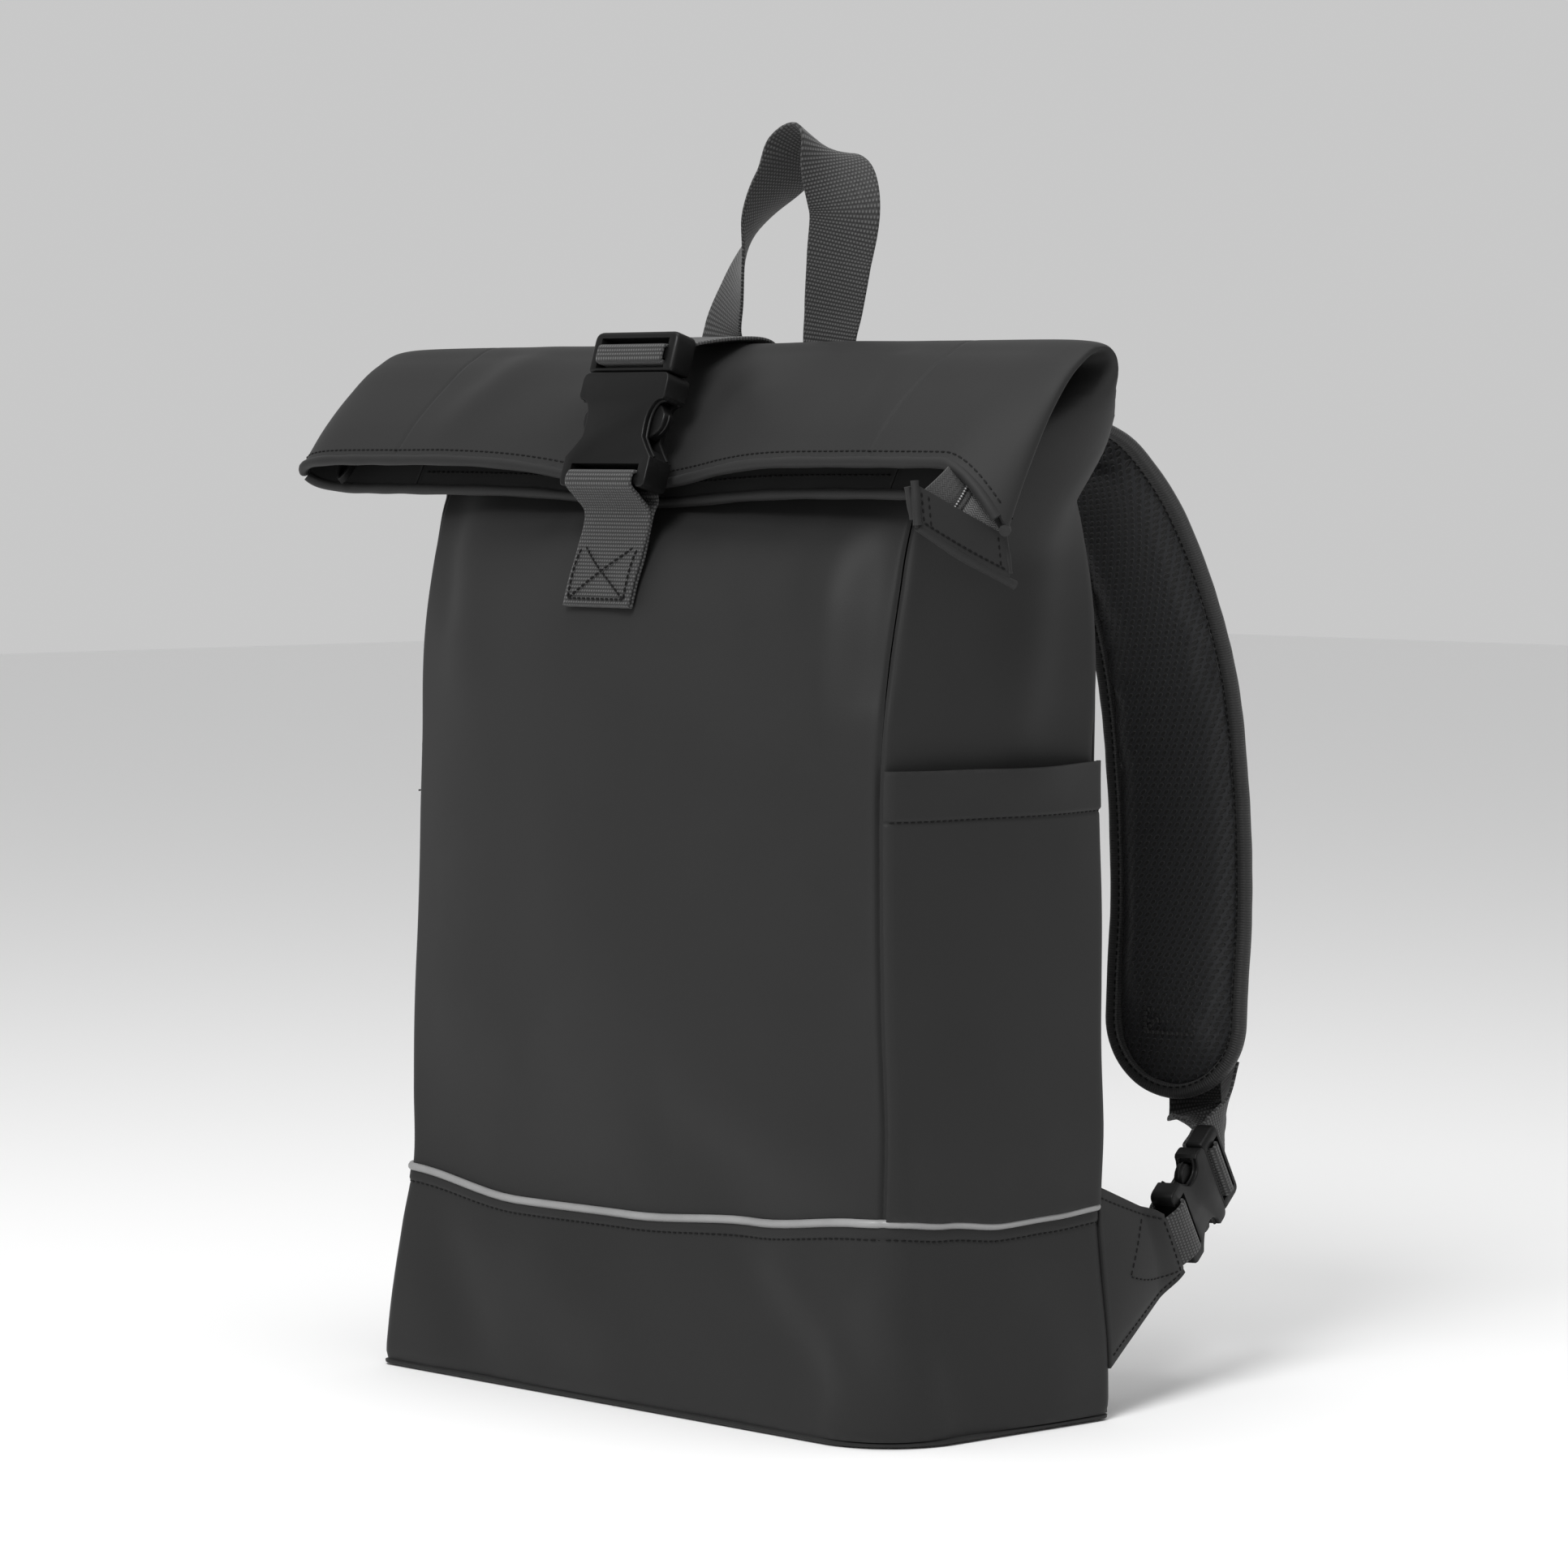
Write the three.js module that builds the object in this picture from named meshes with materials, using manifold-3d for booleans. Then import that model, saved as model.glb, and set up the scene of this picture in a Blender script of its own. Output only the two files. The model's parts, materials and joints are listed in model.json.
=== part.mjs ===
// A closed rolltop backpack of soft coated cloth. The bag is one sewn tube: it stands on a
// flat base, narrows into a shoulder, flattens and widens at the top, folds once forwards
// and ends in a mouth that hangs over the shoulder. A webbing strap holds the fold down.
// Millimetres, +Z up. The front faces -Y and the origin is the middle of the base's underside.
import * as THREE from 'three';
import { mergeVertices } from 'three/addons/utils/BufferGeometryUtils.js';
import Module from 'manifold-3d';

const wasm = await Module();
wasm.setup();

// Driving dimensions of the bag
const bagWidth = 290;
const bagDepth = 120;
const baseWidth = 314;
const foldedWidth = 428;
const foldHeight = 433;
const foldSetBack = 8;
const foldRadius = 11;
const foldInnerRadius = 3.5;
const flapReach = 60;
const flapDrop = 46;
const flapSag = 16;
const bootHeight = 85;
const pipingWave = 8;
const cornerRadius = 7;
const nearRadius = 30;
const frontCrown = 22;
const backCrown = 8;
const sideCrown = 5;
const strapPinch = 15;
const strapPinchReach = 55;
const wall = 2;
const baseThickness = 2;
const gap = 0.3;

// Trim on the bag
const pipingRadius = 1.8;
const rimRadius = 2.2;
const pocketHeight = 265;
const pocketWall = 1.6;
const pocketBulge = 8;
const pocketHem = 20;
const pocketHemExtra = 1;

// Zip
const zipDepth = 16;
const zipLength = 350;
const tapeThickness = 0.9;
const coilRadius = 1.6;
const tapeLift = 4;
const tapeSeat = 1.1;
const tailWidth = 30;
const tabWidth = 44;
const tabLength = 17;
const tabThickness = 3.4;
const pullLength = 17;
const pullWidth = 5;
const pullThickness = 1.2;

// Webbing and buckles
const closureWebbing = 40;
const handleWebbing = 30;
const lowerWebbing = 25;
const webbingThickness = 1.5;
const tabTop = foldHeight - 88;
const tabBottom = foldHeight - 107;
const closureSewnHeight = foldHeight - 61;
const handleSpacing = 65;
const handleRise = 86;
const handleSewnHeight = foldHeight - 45;
const buckleFoot = { y: -flapReach - 12.5, z: foldHeight - flapDrop - 12.5 };
const buckleLean = 0.302;

// Shoulder straps
const strapWidth = 66;
const strapThickness = 8.5;
const strapBinding = 5;
const strapSewnHeight = foldHeight - 61;
const strapBulge = 122;
const strapLow = bootHeight + 7;
const lowerFoot = { x: bagWidth / 2 - 11, y: bagDepth / 2 + 57, z: bootHeight - 16 };
const lowerTail = { x: -29, y: 63, z: 58 };
const wingTop = bootHeight + 13;
const wingBottom = 20;
const wingThickness = 2.4;

const coated = { color: 0x3a3b3c, roughness: 0.72, metalness: 0 };
const webbing = { color: 0x2c2d2f, roughness: 0.9, metalness: 0 };
const moulded = { color: 0x1b1b1c, roughness: 0.42, metalness: 0 };
const mesh = { color: 0x17181a, roughness: 0.95, metalness: 0 };
const reflective = { color: 0x8b8c8e, roughness: 0.5, metalness: 0 };

const backpack = new THREE.Group();

function place(name, geometry, finish, parent = backpack) {
  const piece = new THREE.Mesh(geometry, new THREE.MeshStandardMaterial(finish));
  piece.name = name;
  parent.add(piece);
  return piece;
}

const point = (x, y, z) => new THREE.Vector3(x, y, z);
const sideways = point(1, 0, 0);
const lerp = THREE.MathUtils.lerp;
const clamp = THREE.MathUtils.clamp;

function smooth(value, from, to) {
  return THREE.MathUtils.smoothstep(value, from, to);
}

// Rows of the tube below the fold. up: share of the boot's height, or of the way from the
// boot to the fold's centre. wide: share of half the bag's width. front, back: 0 at the fold,
// 1 at half the bag's depth. flare: share of the way from the bag's to the folded width.
// near: how much rounder the front right corner is, as a share of its named size. The crowns,
// the corners and the wave are shares of their named sizes too.
const tubeColumns = ['part', 'up', 'wide', 'front', 'back', 'flare', 'corner', 'near',
  'frontCrown', 'backCrown', 'sideCrown', 'wave'];
const tubeRows = [
  ['boot', 0.00, baseWidth / bagWidth, 1.16, 0.98, 0, 1.0, 1.00, 0, 0, 0, 0],
  ['boot', 0.35, 1.062, 1.13, 1.01, 0, 1.0, 0.80, 0.10, 0.1, 0.5, 0],
  ['boot', 0.70, 1.035, 1.08, 1.02, 0, 1.0, 0.50, 0.10, 0.1, 0.5, 0.5],
  ['boot', 1.00, 1.012, 1.02, 1.03, 0, 1.0, 0.25, 0.05, 0.1, 0.2, 1],
  ['body', 0.10, 1.015, 1.01, 1.05, 0, 1.0, 0.10, 0.35, 0.8, 0.2, 0.5],
  ['body', 0.25, 1.00, 1.01, 1.06, 0, 1.0, 0, 0.75, 1.0, 0.1, 0],
  ['body', 0.40, 0.985, 0.99, 1.07, 0, 1.0, 0, 0.97, 1.0, 0.1, 0],
  ['body', 0.535, 0.985, 0.98, 1.07, 0, 1.0, 0, 1.05, 1.0, 0.3, 0],
  ['body', 0.655, 0.995, 0.92, 1.06, 0, 1.0, 0, 1.15, 1.0, 1.0, 0],
  ['body', 0.742, 1.00, 0.83, 1.00, 0.02, 1.0, 0, 1.10, 1.0, 1.1, 0],
  ['body', 0.792, 1.00, 0.77, 0.92, 0.10, 0.9, 0, 0.75, 0.8, 0.8, 0],
  ['body', 0.834, 1.00, 0.69, 0.81, 0.27, 0.6, 0, 0.18, 0.5, 0.4, 0],
  ['body', 0.875, 1.00, 0.55, 0.66, 0.48, 0.35, 0, 0.05, 0.3, 0, 0],
  ['body', 0.920, 1.00, 0.35, 0.46, 0.70, 0.15, 0, 0, 0.1, 0, 0],
  ['body', 0.964, 1.00, 0.145, 0.20, 0.90, 0, 0, 0, 0, 0, 0],
];

// Angles of the fold's rows, from the rear of the fold over its top to the front.
const foldAngles = [0, 35, 70, 100];

// Rows of the flap. The back layer is the one on top. Its reach and drop, and those of the
// front layer below it, are shares of the flap's own. pinch: how much of the dip under the
// strap a row takes. sag: how much of the droop at the right end.
const flapColumns = ['backReach', 'backDrop', 'frontReach', 'frontDrop', 'pinch', 'sag'];
const flapRows = [
  [0.27, 0.09, 0.19, 0.27, 0.00, 0.05],
  [0.55, 0.33, 0.42, 0.54, 0.15, 0.25],
  [0.80, 0.63, 0.62, 0.88, 0.60, 0.60],
  [1.00, 1.00, 0.78, 1.27, 0.95, 1.00],
];

function named(columns, values) {
  return Object.fromEntries(columns.map((column, i) => [column, values[i]]));
}

const foldCentre = { y: -foldSetBack, z: foldHeight - foldRadius };

function tubeStation(values) {
  const row = named(tubeColumns, values);
  const inBoot = row.part === 'boot';
  const z = inBoot ? bootHeight * row.up : lerp(bootHeight, foldCentre.z, row.up);
  return {
    frontY: lerp(foldCentre.y + foldInnerRadius, -bagDepth / 2, row.front),
    frontZ: z,
    backY: lerp(foldCentre.y + foldRadius, bagDepth / 2, row.back),
    backZ: z,
    wide: row.wide * bagWidth / 2,
    flare: row.flare * (foldedWidth - bagWidth) / 2,
    corner: row.corner * cornerRadius,
    near: row.near * nearRadius,
    frontCrown: row.frontCrown * frontCrown,
    backCrown: row.backCrown * backCrown,
    sideCrown: row.sideCrown * sideCrown,
    wave: row.wave * pipingWave,
    pinch: 0,
    sag: 0,
  };
}

function flatStation(front, back, pinch, sag) {
  return {
    frontY: front.y,
    frontZ: front.z,
    backY: back.y,
    backZ: back.z,
    wide: bagWidth / 2,
    flare: (foldedWidth - bagWidth) / 2,
    corner: 0,
    near: 0,
    frontCrown: 0,
    backCrown: 0,
    sideCrown: 0,
    wave: 0,
    pinch: pinch * strapPinch,
    sag: sag * flapSag,
  };
}

function foldStation(degrees) {
  const angle = THREE.MathUtils.degToRad(degrees);
  const onArc = (radius) => ({
    y: foldCentre.y + radius * Math.cos(angle),
    z: foldCentre.z + radius * Math.sin(angle),
  });
  return flatStation(onArc(foldInnerRadius), onArc(foldRadius), 0, 0);
}

function flapStation(values) {
  const row = named(flapColumns, values);
  const hangs = (reach, drop) => ({
    y: foldCentre.y - reach * flapReach,
    z: foldHeight - drop * flapDrop,
  });
  const front = hangs(row.frontReach, row.frontDrop);
  return flatStation(front, hangs(row.backReach, row.backDrop), row.pinch, row.sag);
}

const stations = [
  ...tubeRows.map(tubeStation),
  ...foldAngles.map(foldStation),
  ...flapRows.map(flapStation),
];

// Distance along the middle of the tube at each station, which is how the tube is read.
const along = [0];
for (let i = 1; i < stations.length; i += 1) {
  const [a, b] = [stations[i - 1], stations[i]];
  const dy = (b.frontY + b.backY - a.frontY - a.backY) / 2;
  const dz = (b.frontZ + b.backZ - a.frontZ - a.backZ) / 2;
  along.push(along[i - 1] + Math.hypot(dy, dz));
}
const seamRow = along[tubeRows.findIndex((row) => row[0] === 'body') - 1];
const mouthRow = along[along.length - 1];
const rowsAbove = (start) => along.filter((value) => value > start + 1);

function slope(key, i) {
  const last = stations.length - 1;
  if (i === 0 || i === last) {
    const [a, b] = i === 0 ? [0, 1] : [last - 1, last];
    return (stations[b][key] - stations[a][key]) / (along[b] - along[a]);
  }
  const [before, after] = [along[i] - along[i - 1], along[i + 1] - along[i]];
  const rise = (stations[i][key] - stations[i - 1][key]) / before;
  const next = (stations[i + 1][key] - stations[i][key]) / after;
  return (rise * after + next * before) / (before + after);
}

function stationAt(distance) {
  let i = along.findIndex((value) => value > distance) - 1;
  if (i < 0) i = distance < 0 ? 0 : along.length - 2;
  const span = along[i + 1] - along[i];
  const t = (distance - along[i]) / span;
  const result = {};
  for (const key of Object.keys(stations[0])) {
    const [a, b] = [stations[i][key], stations[i + 1][key]];
    const [ma, mb] = [slope(key, i) * span, slope(key, i + 1) * span];
    const t2 = t * t;
    const t3 = t2 * t;
    result[key] = (2 * t3 - 3 * t2 + 1) * a + (t3 - 2 * t2 + t) * ma
      + (3 * t2 - 2 * t3) * b + (t3 - t2) * mb;
  }
  result.corner = Math.max(0, result.corner);
  result.near = Math.max(0, result.near);
  return result;
}

function distanceAtHeight(z) {
  let [low, high] = [0, along[tubeRows.length]];
  for (let i = 0; i < 30; i += 1) {
    const middle = (low + high) / 2;
    if (stationAt(middle).frontZ < z) low = middle;
    else high = middle;
  }
  return low;
}

// How far a rounded corner falls back from the flat of its face.
function cornerDrop(distance, half, radius) {
  const past = clamp(distance - (half - radius), 0, radius);
  return radius - Math.sqrt(radius * radius - past * past);
}

const cornerShare = 1 - Math.SQRT1_2;

function onFlat(at, half, across, facing) {
  const corner = at.corner + (facing < 0 && across > 0 ? at.near : 0);
  const x = facing * across * -(at.wide - cornerShare * corner);
  const crown = facing < 0 ? at.frontCrown : at.backCrown;
  const pinch = at.pinch * Math.exp(-((x / strapPinchReach) ** 2));
  const dip = facing < 0 ? pinch * 0.45 : -pinch;
  const out = half - cornerDrop(Math.abs(x), at.wide, corner)
    + crown * (1 - across * across) + dip;
  return { x, out: facing * out };
}

// The gusset's curve. Folded flat it runs almost straight out to its tip, so its position
// is read in steps that suit both forms: -1 at the front seam, 0 at the tip, 1 at the rear.
function onGusset(at, half, position, side) {
  const power = clamp(2 * at.flare / half, 1, 6);
  const across = Math.sign(position) * (1 - (1 - Math.abs(position)) ** power);
  const corner = at.corner + (side > 0 && position < 0 ? at.near : 0);
  const reach = across * (half - cornerShare * corner);
  const bulge = 1 - across * across;
  const x = at.wide - cornerDrop(Math.abs(reach), half, corner)
    + at.sideCrown * bulge + at.flare * bulge ** (1 / power);
  return { x: side * x, out: side * reach };
}

// The seam's height over the base wanders. Shares of the wave, from one corner to the next.
const waveRows = {
  front: [0, -0.95, -0.85, -0.35, 0.4],
  right: [0.4, 0.05, -0.3, -0.2, 0],
  back: [0, 0, 0, 0, 0],
  left: [0, 0, 0, 0, 0],
};

function waveAt(panel, share) {
  const row = waveRows[panel];
  const place = clamp(share, 0, 1) * (row.length - 1);
  const i = Math.min(Math.floor(place), row.length - 2);
  return lerp(row[i], row[i + 1], smooth(place - i, 0, 1));
}

// A point of the bag's outside. share runs along the panel, anticlockwise seen from above.
function onBag(panel, distance, share) {
  const at = stationAt(distance);
  const half = Math.hypot(at.backY - at.frontY, at.backZ - at.frontZ) / 2;
  const middle = { y: (at.frontY + at.backY) / 2, z: (at.frontZ + at.backZ) / 2 };
  const unit = { y: (at.backY - at.frontY) / 2 / half, z: (at.backZ - at.frontZ) / 2 / half };
  let spot;
  if (panel === 'front') spot = onFlat(at, half, 2 * share - 1, -1);
  else if (panel === 'back') spot = onFlat(at, half, 2 * share - 1, 1);
  else {
    const side = panel === 'right' ? 1 : -1;
    spot = onGusset(at, half, evenGusset(at, half, share, side), side);
  }
  const droop = at.sag * smooth(spot.x, bagWidth / 2, foldedWidth / 2 - 10);
  const y = middle.y + spot.out * unit.y;
  const z = middle.z + spot.out * unit.z + at.wave * waveAt(panel, share) - droop;
  return point(spot.x, y, z);
}

// The gusset's shares run evenly along its own curve, also where it is folded flat.
function evenGusset(at, half, share, side) {
  const steps = 60;
  const lengths = [0];
  let last = onGusset(at, half, -1, side);
  for (let i = 1; i <= steps; i += 1) {
    const next = onGusset(at, half, (2 * i) / steps - 1, side);
    lengths.push(lengths[i - 1] + Math.hypot(next.x - last.x, next.out - last.out));
    last = next;
  }
  const target = clamp(share, 0, 1) * lengths[steps];
  const i = clamp(lengths.findIndex((value) => value >= target), 1, steps);
  const within = (target - lengths[i - 1]) / (lengths[i] - lengths[i - 1]);
  return (2 * (i - 1 + within)) / steps - 1;
}

function shares(count, from, to) {
  return Array.from({ length: count + 1 }, (_, i) => lerp(from, to, i / count));
}

function outwardAt(panel, distance, share) {
  const step = 0.004;
  const [left, right] = [Math.max(0, share - step), Math.min(1, share + step)];
  const [low, high] = [Math.max(0, distance - 0.5), Math.min(mouthRow, distance + 0.5)];
  const across = onBag(panel, distance, right).sub(onBag(panel, distance, left));
  const up = onBag(panel, high, share).sub(onBag(panel, low, share));
  return across.cross(up).normalize();
}

function standingOff(panel, distance, share, amount) {
  const outward = outwardAt(panel, distance, share);
  return onBag(panel, distance, share).addScaledVector(outward, amount);
}

const columnsOf = (panel, places) => places.map((share) => ({ panel, share }));

// A grid of points on the bag, each standing off its surface by an amount.
function gridOf(columns, distances, amount = () => 0) {
  return distances.map((distance, i) => columns.map(({ panel, share }, j) => (
    standingOff(panel, distance, share, amount(i, j)))));
}

// A closed wall between two grids of points with the same rows and columns.
function wallBetween(outer, inner) {
  const rows = outer.length;
  const columns = outer[0].length;
  const positions = [];
  for (const grid of [outer, inner]) {
    for (const row of grid) row.forEach((spot) => positions.push(spot.x, spot.y, spot.z));
  }
  const indices = [];
  const quad = (a, b, c, d) => indices.push(a, b, c, a, c, d);
  const out = (i, j) => i * columns + j;
  const into = (i, j) => rows * columns + i * columns + j;
  for (let i = 0; i < rows - 1; i += 1) {
    for (let j = 0; j < columns - 1; j += 1) {
      quad(out(i, j), out(i, j + 1), out(i + 1, j + 1), out(i + 1, j));
      quad(into(i, j), into(i + 1, j), into(i + 1, j + 1), into(i, j + 1));
    }
    quad(out(i, 0), out(i + 1, 0), into(i + 1, 0), into(i, 0));
    quad(out(i + 1, columns - 1), out(i, columns - 1), into(i, columns - 1),
      into(i + 1, columns - 1));
  }
  for (let j = 0; j < columns - 1; j += 1) {
    quad(out(0, j + 1), out(0, j), into(0, j), into(0, j + 1));
    quad(out(rows - 1, j), out(rows - 1, j + 1), into(rows - 1, j + 1), into(rows - 1, j));
  }
  return fromArrays(positions, indices);
}

function fromArrays(positions, indices) {
  const geometry = new THREE.BufferGeometry();
  geometry.setAttribute('position', new THREE.Float32BufferAttribute(positions, 3));
  geometry.setIndex(indices);
  return geometry;
}

// A closed body through rings of points, with flat ends.
function loft(rings) {
  const count = rings[0].length;
  const positions = rings.flat().flatMap((spot) => [spot.x, spot.y, spot.z]);
  const indices = [];
  for (let i = 0; i < rings.length - 1; i += 1) {
    for (let j = 0; j < count; j += 1) {
      const [a, b] = [i * count + j, i * count + (j + 1) % count];
      const [c, d] = [b + count, a + count];
      if (j < count / 2) indices.push(a, b, c, a, c, d);
      else indices.push(a, b, d, b, c, d);
    }
  }
  const top = (rings.length - 1) * count;
  for (let j = 1; j < count - 1; j += 1) {
    indices.push(0, j + 1, j, top, top + j, top + j + 1);
  }
  if (signedVolume(positions, indices) < 0) indices.reverse();
  return fromArrays(positions, indices);
}

function signedVolume(positions, indices) {
  const corner = (i) => new THREE.Vector3().fromArray(positions, 3 * indices[i]);
  let sum = 0;
  for (let i = 0; i < indices.length; i += 3) {
    sum += corner(i).dot(corner(i + 1).cross(corner(i + 2)));
  }
  return sum / 6;
}

// A cord of round section along points.
function roundCord(points, radius, steps, quarters = 3) {
  const section = new THREE.Shape();
  section.absarc(0, 0, radius, 0, Math.PI * 2);
  return new THREE.ExtrudeGeometry(section, {
    steps,
    curveSegments: quarters,
    bevelEnabled: false,
    extrudePath: new THREE.CatmullRomCurve3(points, false, 'centripetal'),
  });
}

// The four corners of a band's section.
function bandRing({ place: spot, across, forward, half, thick }) {
  const wide = across.clone().multiplyScalar(half);
  const face = across.clone().cross(forward).normalize().multiplyScalar(thick / 2);
  return [
    spot.clone().sub(wide).sub(face),
    spot.clone().add(wide).sub(face),
    spot.clone().add(wide).add(face),
    spot.clone().sub(wide).add(face),
  ];
}

// A flat band. Each spot has a place, the direction of the band's width there, and a width
// of its own where that differs from the band's.
function band(spots, width, thickness) {
  return loft(spots.map((spot, i) => {
    const before = spots[Math.max(0, i - 1)].place;
    const after = spots[Math.min(spots.length - 1, i + 1)].place;
    const forward = after.clone().sub(before).normalize();
    const across = spot.across.clone().addScaledVector(forward, -spot.across.dot(forward));
    across.normalize();
    const half = (spot.width ?? width) / 2;
    return bandRing({ place: spot.place, across, forward, half, thick: thickness });
  }));
}

function smoothSpots(spots, count) {
  const places = new THREE.CatmullRomCurve3(spots.map((spot) => spot.place), false, 'centripetal');
  const turns = new THREE.CatmullRomCurve3(spots.map((spot) => spot.across), false, 'catmullrom');
  return shares(count, 0, 1).map((t) => ({
    place: places.getPoint(t),
    across: turns.getPoint(t).normalize(),
  }));
}

function toManifold(geometry) {
  const bare = geometry.clone();
  bare.deleteAttribute('normal');
  bare.deleteAttribute('uv');
  const merged = mergeVertices(bare, 1e-4);
  return new wasm.Manifold(new wasm.Mesh({
    numProp: 3,
    vertProperties: Float32Array.from(merged.attributes.position.array),
    triVerts: Uint32Array.from(merged.index.array),
  }));
}

function fromManifold(solid) {
  const result = solid.getMesh();
  return fromArrays(Array.from(result.vertProperties), Array.from(result.triVerts));
}

// The base, the boot and the piping
const bootStart = baseThickness + gap;
const acrossCount = 10;
const gussetCount = 6;

// Shares across a panel, closer together where its edges turn round the corners.
function panelShares(panelWidth, count, edge) {
  const trim = gap / panelWidth;
  const inner = shares(count, edge, 1 - edge);
  return [trim, edge / 3, 2 * edge / 3, ...inner, 1 - 2 * edge / 3, 1 - edge / 3, 1 - trim];
}

const frontShares = panelShares(bagWidth, acrossCount, 0.05);
const gussetShares = panelShares(bagDepth, gussetCount, 0.10);
const bootColumns = [
  ...columnsOf('left', gussetShares.slice(0, -1)),
  ...columnsOf('front', [0, ...frontShares.slice(1, -1), 1]),
  ...columnsOf('right', gussetShares.slice(1)),
];

function basePanel() {
  const back = shares(4, 0, 1).slice(1, -1);
  const columns = [...bootColumns, ...columnsOf('back', back)];
  const ring = gridOf(columns, [0])[0].map((spot) => new THREE.Vector2(spot.x, spot.y));
  const outline = new THREE.Shape(ring);
  return new THREE.ExtrudeGeometry(outline, { depth: baseThickness, bevelEnabled: false });
}

function boot() {
  const top = seamRow - pipingRadius - 2 * gap;
  const rows = [bootStart, ...along.filter((value) => value > bootStart && value < top - 1), top];
  return wallBetween(gridOf(bootColumns, rows), gridOf(bootColumns, rows, () => -wall));
}

function piping() {
  const route = gridOf(bootColumns.slice(1, -1), [seamRow], () => -0.2)[0];
  return roundCord(route, pipingRadius, 60);
}

place('base_panel', basePanel(), coated);
place('boot', boot(), coated);
place('piping', piping(), reflective);

// The four walls
const wallStart = seamRow + pipingRadius + 2 * gap;
const wallRows = [wallStart, ...rowsAbove(wallStart)];

function panelWall(panel, rows, places) {
  const columns = columnsOf(panel, places);
  return wallBetween(gridOf(columns, rows), gridOf(columns, rows, () => -wall));
}

place('front_panel', panelWall('front', wallRows, frontShares), coated);
place('back_panel', panelWall('back', [bootStart, ...rowsAbove(bootStart)], frontShares), coated);
place('side_panel_right', panelWall('right', wallRows, gussetShares), coated);
place('side_panel_left', panelWall('left', wallRows, gussetShares), coated);

// The side pockets
function sidePocket(panel) {
  const top = distanceAtHeight(pocketHeight);
  const hem = distanceAtHeight(pocketHeight - pocketHem);
  const between = shares(3, wallStart, hem - 0.5);
  const rows = [...between, hem + 0.5, top];
  const places = [0.02, ...gussetShares.slice(1, -1), 0.98];
  const columns = columnsOf(panel, places);
  const stand = (i, j) => {
    const bulge = Math.sin(Math.PI * places[j]) ** 0.7;
    return gap + 0.3 + pocketBulge * bulge * smooth(rows[i], wallStart - 20, hem);
  };
  const thick = (i) => pocketWall + (rows[i] > hem ? pocketHemExtra : 0);
  const outer = gridOf(columns, rows, (i, j) => stand(i, j) + thick(i));
  return wallBetween(outer, gridOf(columns, rows, stand));
}

place('side_pocket_right', sidePocket('right'), coated);
place('side_pocket_left', sidePocket('left'), coated);

// The rolled edges of the mouth: each runs from tip to tip of the folded sides.
function rim(parts) {
  const spots = parts.flatMap(([panel, from, to, count]) => {
    const columns = columnsOf(panel, shares(count, from, to));
    const [before, edge] = gridOf(columns, [mouthRow - 1, mouthRow], () => -wall / 2);
    return edge.map((spot, i) => {
      const forward = spot.clone().sub(before[i]).normalize();
      return spot.addScaledVector(forward, rimRadius + 2 * gap);
    });
  });
  return roundCord(spots, rimRadius, 44);
}

const tipShare = 0.5;
const tipGap = 0.02;
place('rim_front', rim([
  ['left', tipShare + tipGap, 0.97, 5],
  ['front', 0.02, 0.98, 8],
  ['right', 0.03, tipShare - tipGap, 5],
]), coated);
place('rim_back', rim([
  ['right', tipShare + tipGap, 0.97, 5],
  ['back', 0.02, 0.98, 8],
  ['left', 0.03, tipShare - tipGap, 5],
]), coated);

// The zip lies across the tube behind the mouth. Its two tapes rise from the walls to the
// coil, and its tail comes out at the right end and hangs down to a coated tab.
// side: -1 at the front layer, 0 midway, 1 at the back layer; clear: how far off it, in mm.
function insideMouth(x, depth, side = 0, clear = 0) {
  const at = stationAt(mouthRow - depth);
  const share = clamp((x + at.wide) / (2 * at.wide), 0, 1);
  const front = onBag('front', mouthRow - depth, share);
  const back = onBag('back', mouthRow - depth, 1 - share);
  const spot = front.clone().lerp(back, 0.5);
  const towards = (side < 0 ? front : back).clone().sub(spot);
  const reach = side === 0 ? 0 : towards.length() - clear;
  spot.addScaledVector(towards.normalize(), reach);
  spot.x = x;
  spot.z -= at.sag * smooth(x, bagWidth / 2, foldedWidth / 2 - 10);
  return spot;
}

const zipStart = -zipLength / 2 - 8;
const zipEnd = zipStart + zipLength;
const zipPlaces = shares(14, zipStart, zipEnd);
const coilDepth = zipDepth - tapeLift;

function zipTape(side) {
  return loft(zipPlaces.map((x) => {
    const root = insideMouth(x, zipDepth, side, wall + tapeSeat + tapeThickness / 2);
    const middle = insideMouth(x, coilDepth, 0, 0);
    const away = root.clone().sub(middle).normalize();
    const top = middle.addScaledVector(away, coilRadius + gap + 0.1);
    const across = top.clone().sub(root);
    const half = across.length() / 2;
    across.normalize();
    const spot = root.clone().lerp(top, 0.5);
    return bandRing({ place: spot, across, forward: sideways, half, thick: tapeThickness });
  }));
}

const coilPath = zipPlaces.map((x) => insideMouth(x, coilDepth));
place('zip_tape_front', zipTape(-1), webbing);
place('zip_tape_back', zipTape(1), webbing);
place('zip_coil', roundCord(coilPath, coilRadius, 30), webbing);

const acrossMouth = point(0, -0.7, 0.7);
const tailTurn = insideMouth(foldedWidth / 2 - 17, -9).add(point(0, -6, 11));
const tailSpots = smoothSpots([
  { place: insideMouth(zipEnd + 1, coilDepth), across: acrossMouth },
  { place: insideMouth(zipEnd + 11, -3), across: acrossMouth },
  { place: insideMouth(zipEnd + 19, -10), across: point(0, -0.75, 0.65) },
  { place: tailTurn, across: point(-0.15, -0.8, 0.6) },
  { place: tailTurn.clone().add(point(3, -3, -10)), across: point(-0.2, -0.77, 0.6) },
], 10);
const tailGoes = tailSpots[10].place.clone().sub(tailSpots[9].place).normalize();

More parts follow.
